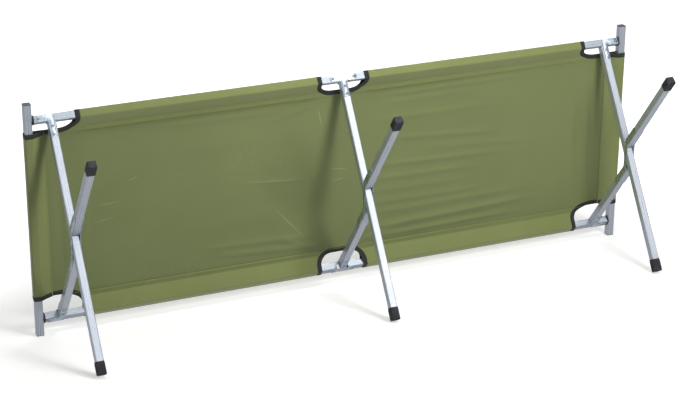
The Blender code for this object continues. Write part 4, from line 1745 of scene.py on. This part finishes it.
@dataclass
class Studio:
    """The camera, the lamps, the pale room and its two floors.

    What metal mirrors of the room is brighter towards one end, with a soft bright stripe, the spot.
    """

    eye: Triple = (-2.1635, -2.1567, -4.5829)
    tilt_degrees: Triple = (157.4413, 23.5847, -0.3795)
    lens: float = 101.08
    floor_colour: str = "#dcdcda"
    mirrored_floor: str = "#adafb4"
    mirrored_room: str = "#eef1f5"
    glow: Pair = (0.47, 1.0)
    glow_reach: Pair = (1.0, 1.7)
    wall_low: Pair = (0.3135, 0.006)
    wall_high: Pair = (0.3510, 0.3925)
    room: float = 14.0
    fills: tuple[tuple[Triple, float, float, float], ...] = (
        ((0.0, 0.8, -0.6), 0, 0.0, 0.08),
        ((0.0, 1.0, 0.0), 0.5, 0.0, 2.1),
        ((0.0, 0.0, 1.0), 0, 0.0, 0.5),
        ((-1.0, 0.0, 0.0), 0, 0.0, 0.34),
    )
    mirrored: tuple[float, float, float, float] = (0.22, 0.50, 0.88, 0.36)
    spot: float = 5.4
    spot_x: float = 0.368
    spot_width: float = 0.12
    spot_fade: tuple[float, float, float, float] = (-0.68, -0.56, 1.0, 0.85)

    def set_camera(self) -> None:
        """Stands the camera where the photograph was taken from."""
        lens = bpy.data.cameras.new("portrait")
        lens.lens = self.lens
        lens.sensor_width = 36
        lens.clip_end = 100
        camera = bpy.data.objects.new("portrait", lens)
        camera.location = self.eye
        camera.rotation_euler = [math.radians(a) for a in self.tilt_degrees]
        bpy.context.scene.collection.objects.link(camera)
        bpy.context.scene.camera = camera

    def set_world(self) -> None:
        """Makes the room white to the eye, and lights the bed softly, most from the side of the pale floor."""
        world = bpy.data.worlds.new("room")
        bpy.context.scene.world = world
        add = clear_nodes(world)
        ray, look = add("LightPath").outputs, add("TexCoord").outputs["Generated"]
        fill = 0.0
        for way, start, dark, light in self.fills:
            along = add("VectorMath", {0: look, 1: way}, operation="DOT_PRODUCT")
            share = add("MapRange", {0: along, 1: start, 3: dark, 4: light})
            fill = add("Math", {0: share, 1: fill}, operation="ADD")
        parts = add("SeparateXYZ", {0: look}).outputs
        wide = add("MapRange", {0: parts[0], **dict(enumerate(self.mirrored, 1))})
        off = add("Math", {0: parts[0], 1: self.spot_x}, operation="SUBTRACT")
        near = add("Math", {0: off}, operation="ABSOLUTE")
        stripe = {0: near, 2: self.spot_width, 3: self.spot, 4: 0.0}
        stripe = add("MapRange", stripe, interpolation_type="SMOOTHSTEP")
        fade = add("MapRange", {0: parts[1], **dict(enumerate(self.spot_fade, 1))})
        bright = add("Math", {0: stripe, 1: fade}, operation="MULTIPLY")
        shine = add("Math", {0: wide, 1: bright}, operation="ADD")
        seen = add("Background", {"Color": "#ffffff", "Strength": 1.0})
        mirrored = add("Background", {"Color": self.mirrored_room, "Strength": shine})
        lit = add("Background", {"Color": "#ffffff", "Strength": fill})
        soft = add("MixShader", {0: ray["Is Glossy Ray"], 1: lit, 2: mirrored})
        both = add("MixShader", {0: ray["Is Camera Ray"], 1: soft, 2: seen})
        add("OutputWorld", {"Surface": both})

    def add_lamp(self, name: str, towards: Triple, distance: float, size: Pair, power: float) -> Piece:
        """Hangs one softbox.

        Args:
            name: The lamp's name.
            towards: The direction from the bed to the lamp.
            distance: How far off it hangs, in metres.
            size: Its width and height, in metres.
            power: Its power in watts.

        Returns:
            The lamp.
        """
        light = bpy.data.lights.new(name, "AREA")
        light.shape = "RECTANGLE"
        light.size, light.size_y = size
        light.energy = power
        lamp = bpy.data.objects.new(name, light)
        direction = Vector(towards).normalized()
        lamp.location = Vector((0, 0, 0.2)) + direction * distance
        lamp.rotation_euler = direction.to_track_quat("Z", "Y").to_euler()
        bpy.context.scene.collection.objects.link(lamp)
        return lamp

    def add_floor(self, name: str, origin: Vector, up: Vector) -> Piece:
        """Lays a floor that shows from its front only.

        Args:
            name: The floor's name.
            origin: A point on it.
            up: Its normal.

        Returns:
            The floor.
        """
        bpy.ops.object.select_all(action="DESELECT")
        bpy.ops.mesh.primitive_plane_add(size=self.room)
        floor = bpy.context.object
        floor.name = name
        turn = up.to_track_quat("Z", "X").to_matrix().to_4x4()
        floor.data.transform(Matrix.Translation(origin) @ turn)
        made = bpy.data.materials.new(name + "_paper")
        add = clear_nodes(made)
        matt = add("BsdfDiffuse", {"Color": self.floor_colour})
        away = add("VectorMath", {0: add("TexCoord").outputs["Object"]}, operation="LENGTH")
        reach = {0: away, **dict(enumerate(self.glow_reach + self.glow, 1))}
        glow = add("MapRange", reach, interpolation_type="SMOOTHSTEP")
        seen = add("AddShader", {0: matt, 1: add("Emission", {"Strength": glow})})
        mirrored = add("Emission", {"Color": self.mirrored_floor, "Strength": 1.0})
        front = add("MixShader", {0: add("LightPath").outputs["Is Glossy Ray"], 1: seen, 2: mirrored})
        side = add("NewGeometry").outputs["Backfacing"]
        add("OutputMaterial", {"Surface": add("MixShader", {0: side, 1: front, 2: add("BsdfTransparent")})})
        floor.data.materials.append(made)
        floor.visible_shadow = False
        floor.visible_diffuse = False
        return floor

    def build(self) -> None:
        """Sets up the whole studio."""
        self.set_camera()
        self.set_world()
        low, high = Vector((0, *self.wall_low)), Vector((0, *self.wall_high))
        wall_up = (high - low).cross(Vector((1, 0, 0))).normalized()
        if wall_up.y > 0:
            wall_up.negate()
        self.add_floor("photograph_floor", low, wall_up)
        room_floor = self.add_floor("room_floor", Vector((0, 0, 0)), Vector((0, 0, 1)))
        key = self.add_lamp("key_softbox", (0.295, -0.54, -0.788), 2.8, (0.8, 0.9), 71)
        overhead = self.add_lamp("overhead_softbox", (-0.05, -0.96, -0.2), 1.6, (1.0, 0.4), 14)
        self.add_lamp("top_softbox", (0.2, -0.3, 0.93), 3.5, (3.0, 3.0), 20)
        for unmirrored in (room_floor, key, overhead):
            unmirrored.visible_glossy = False


def main() -> None:
    """Dresses the bed."""
    logging.basicConfig(level=logging.INFO, format="%(message)s")
    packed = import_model()
    bpy.context.scene.view_settings.view_transform = "Standard"
    Studio().build()
    bed = Frame(packed["nodes"])
    bed.dress()
    Cloth(bed.finishes).build()
    Fittings(bed.finishes).build()


if __name__ == "__main__":
    main()
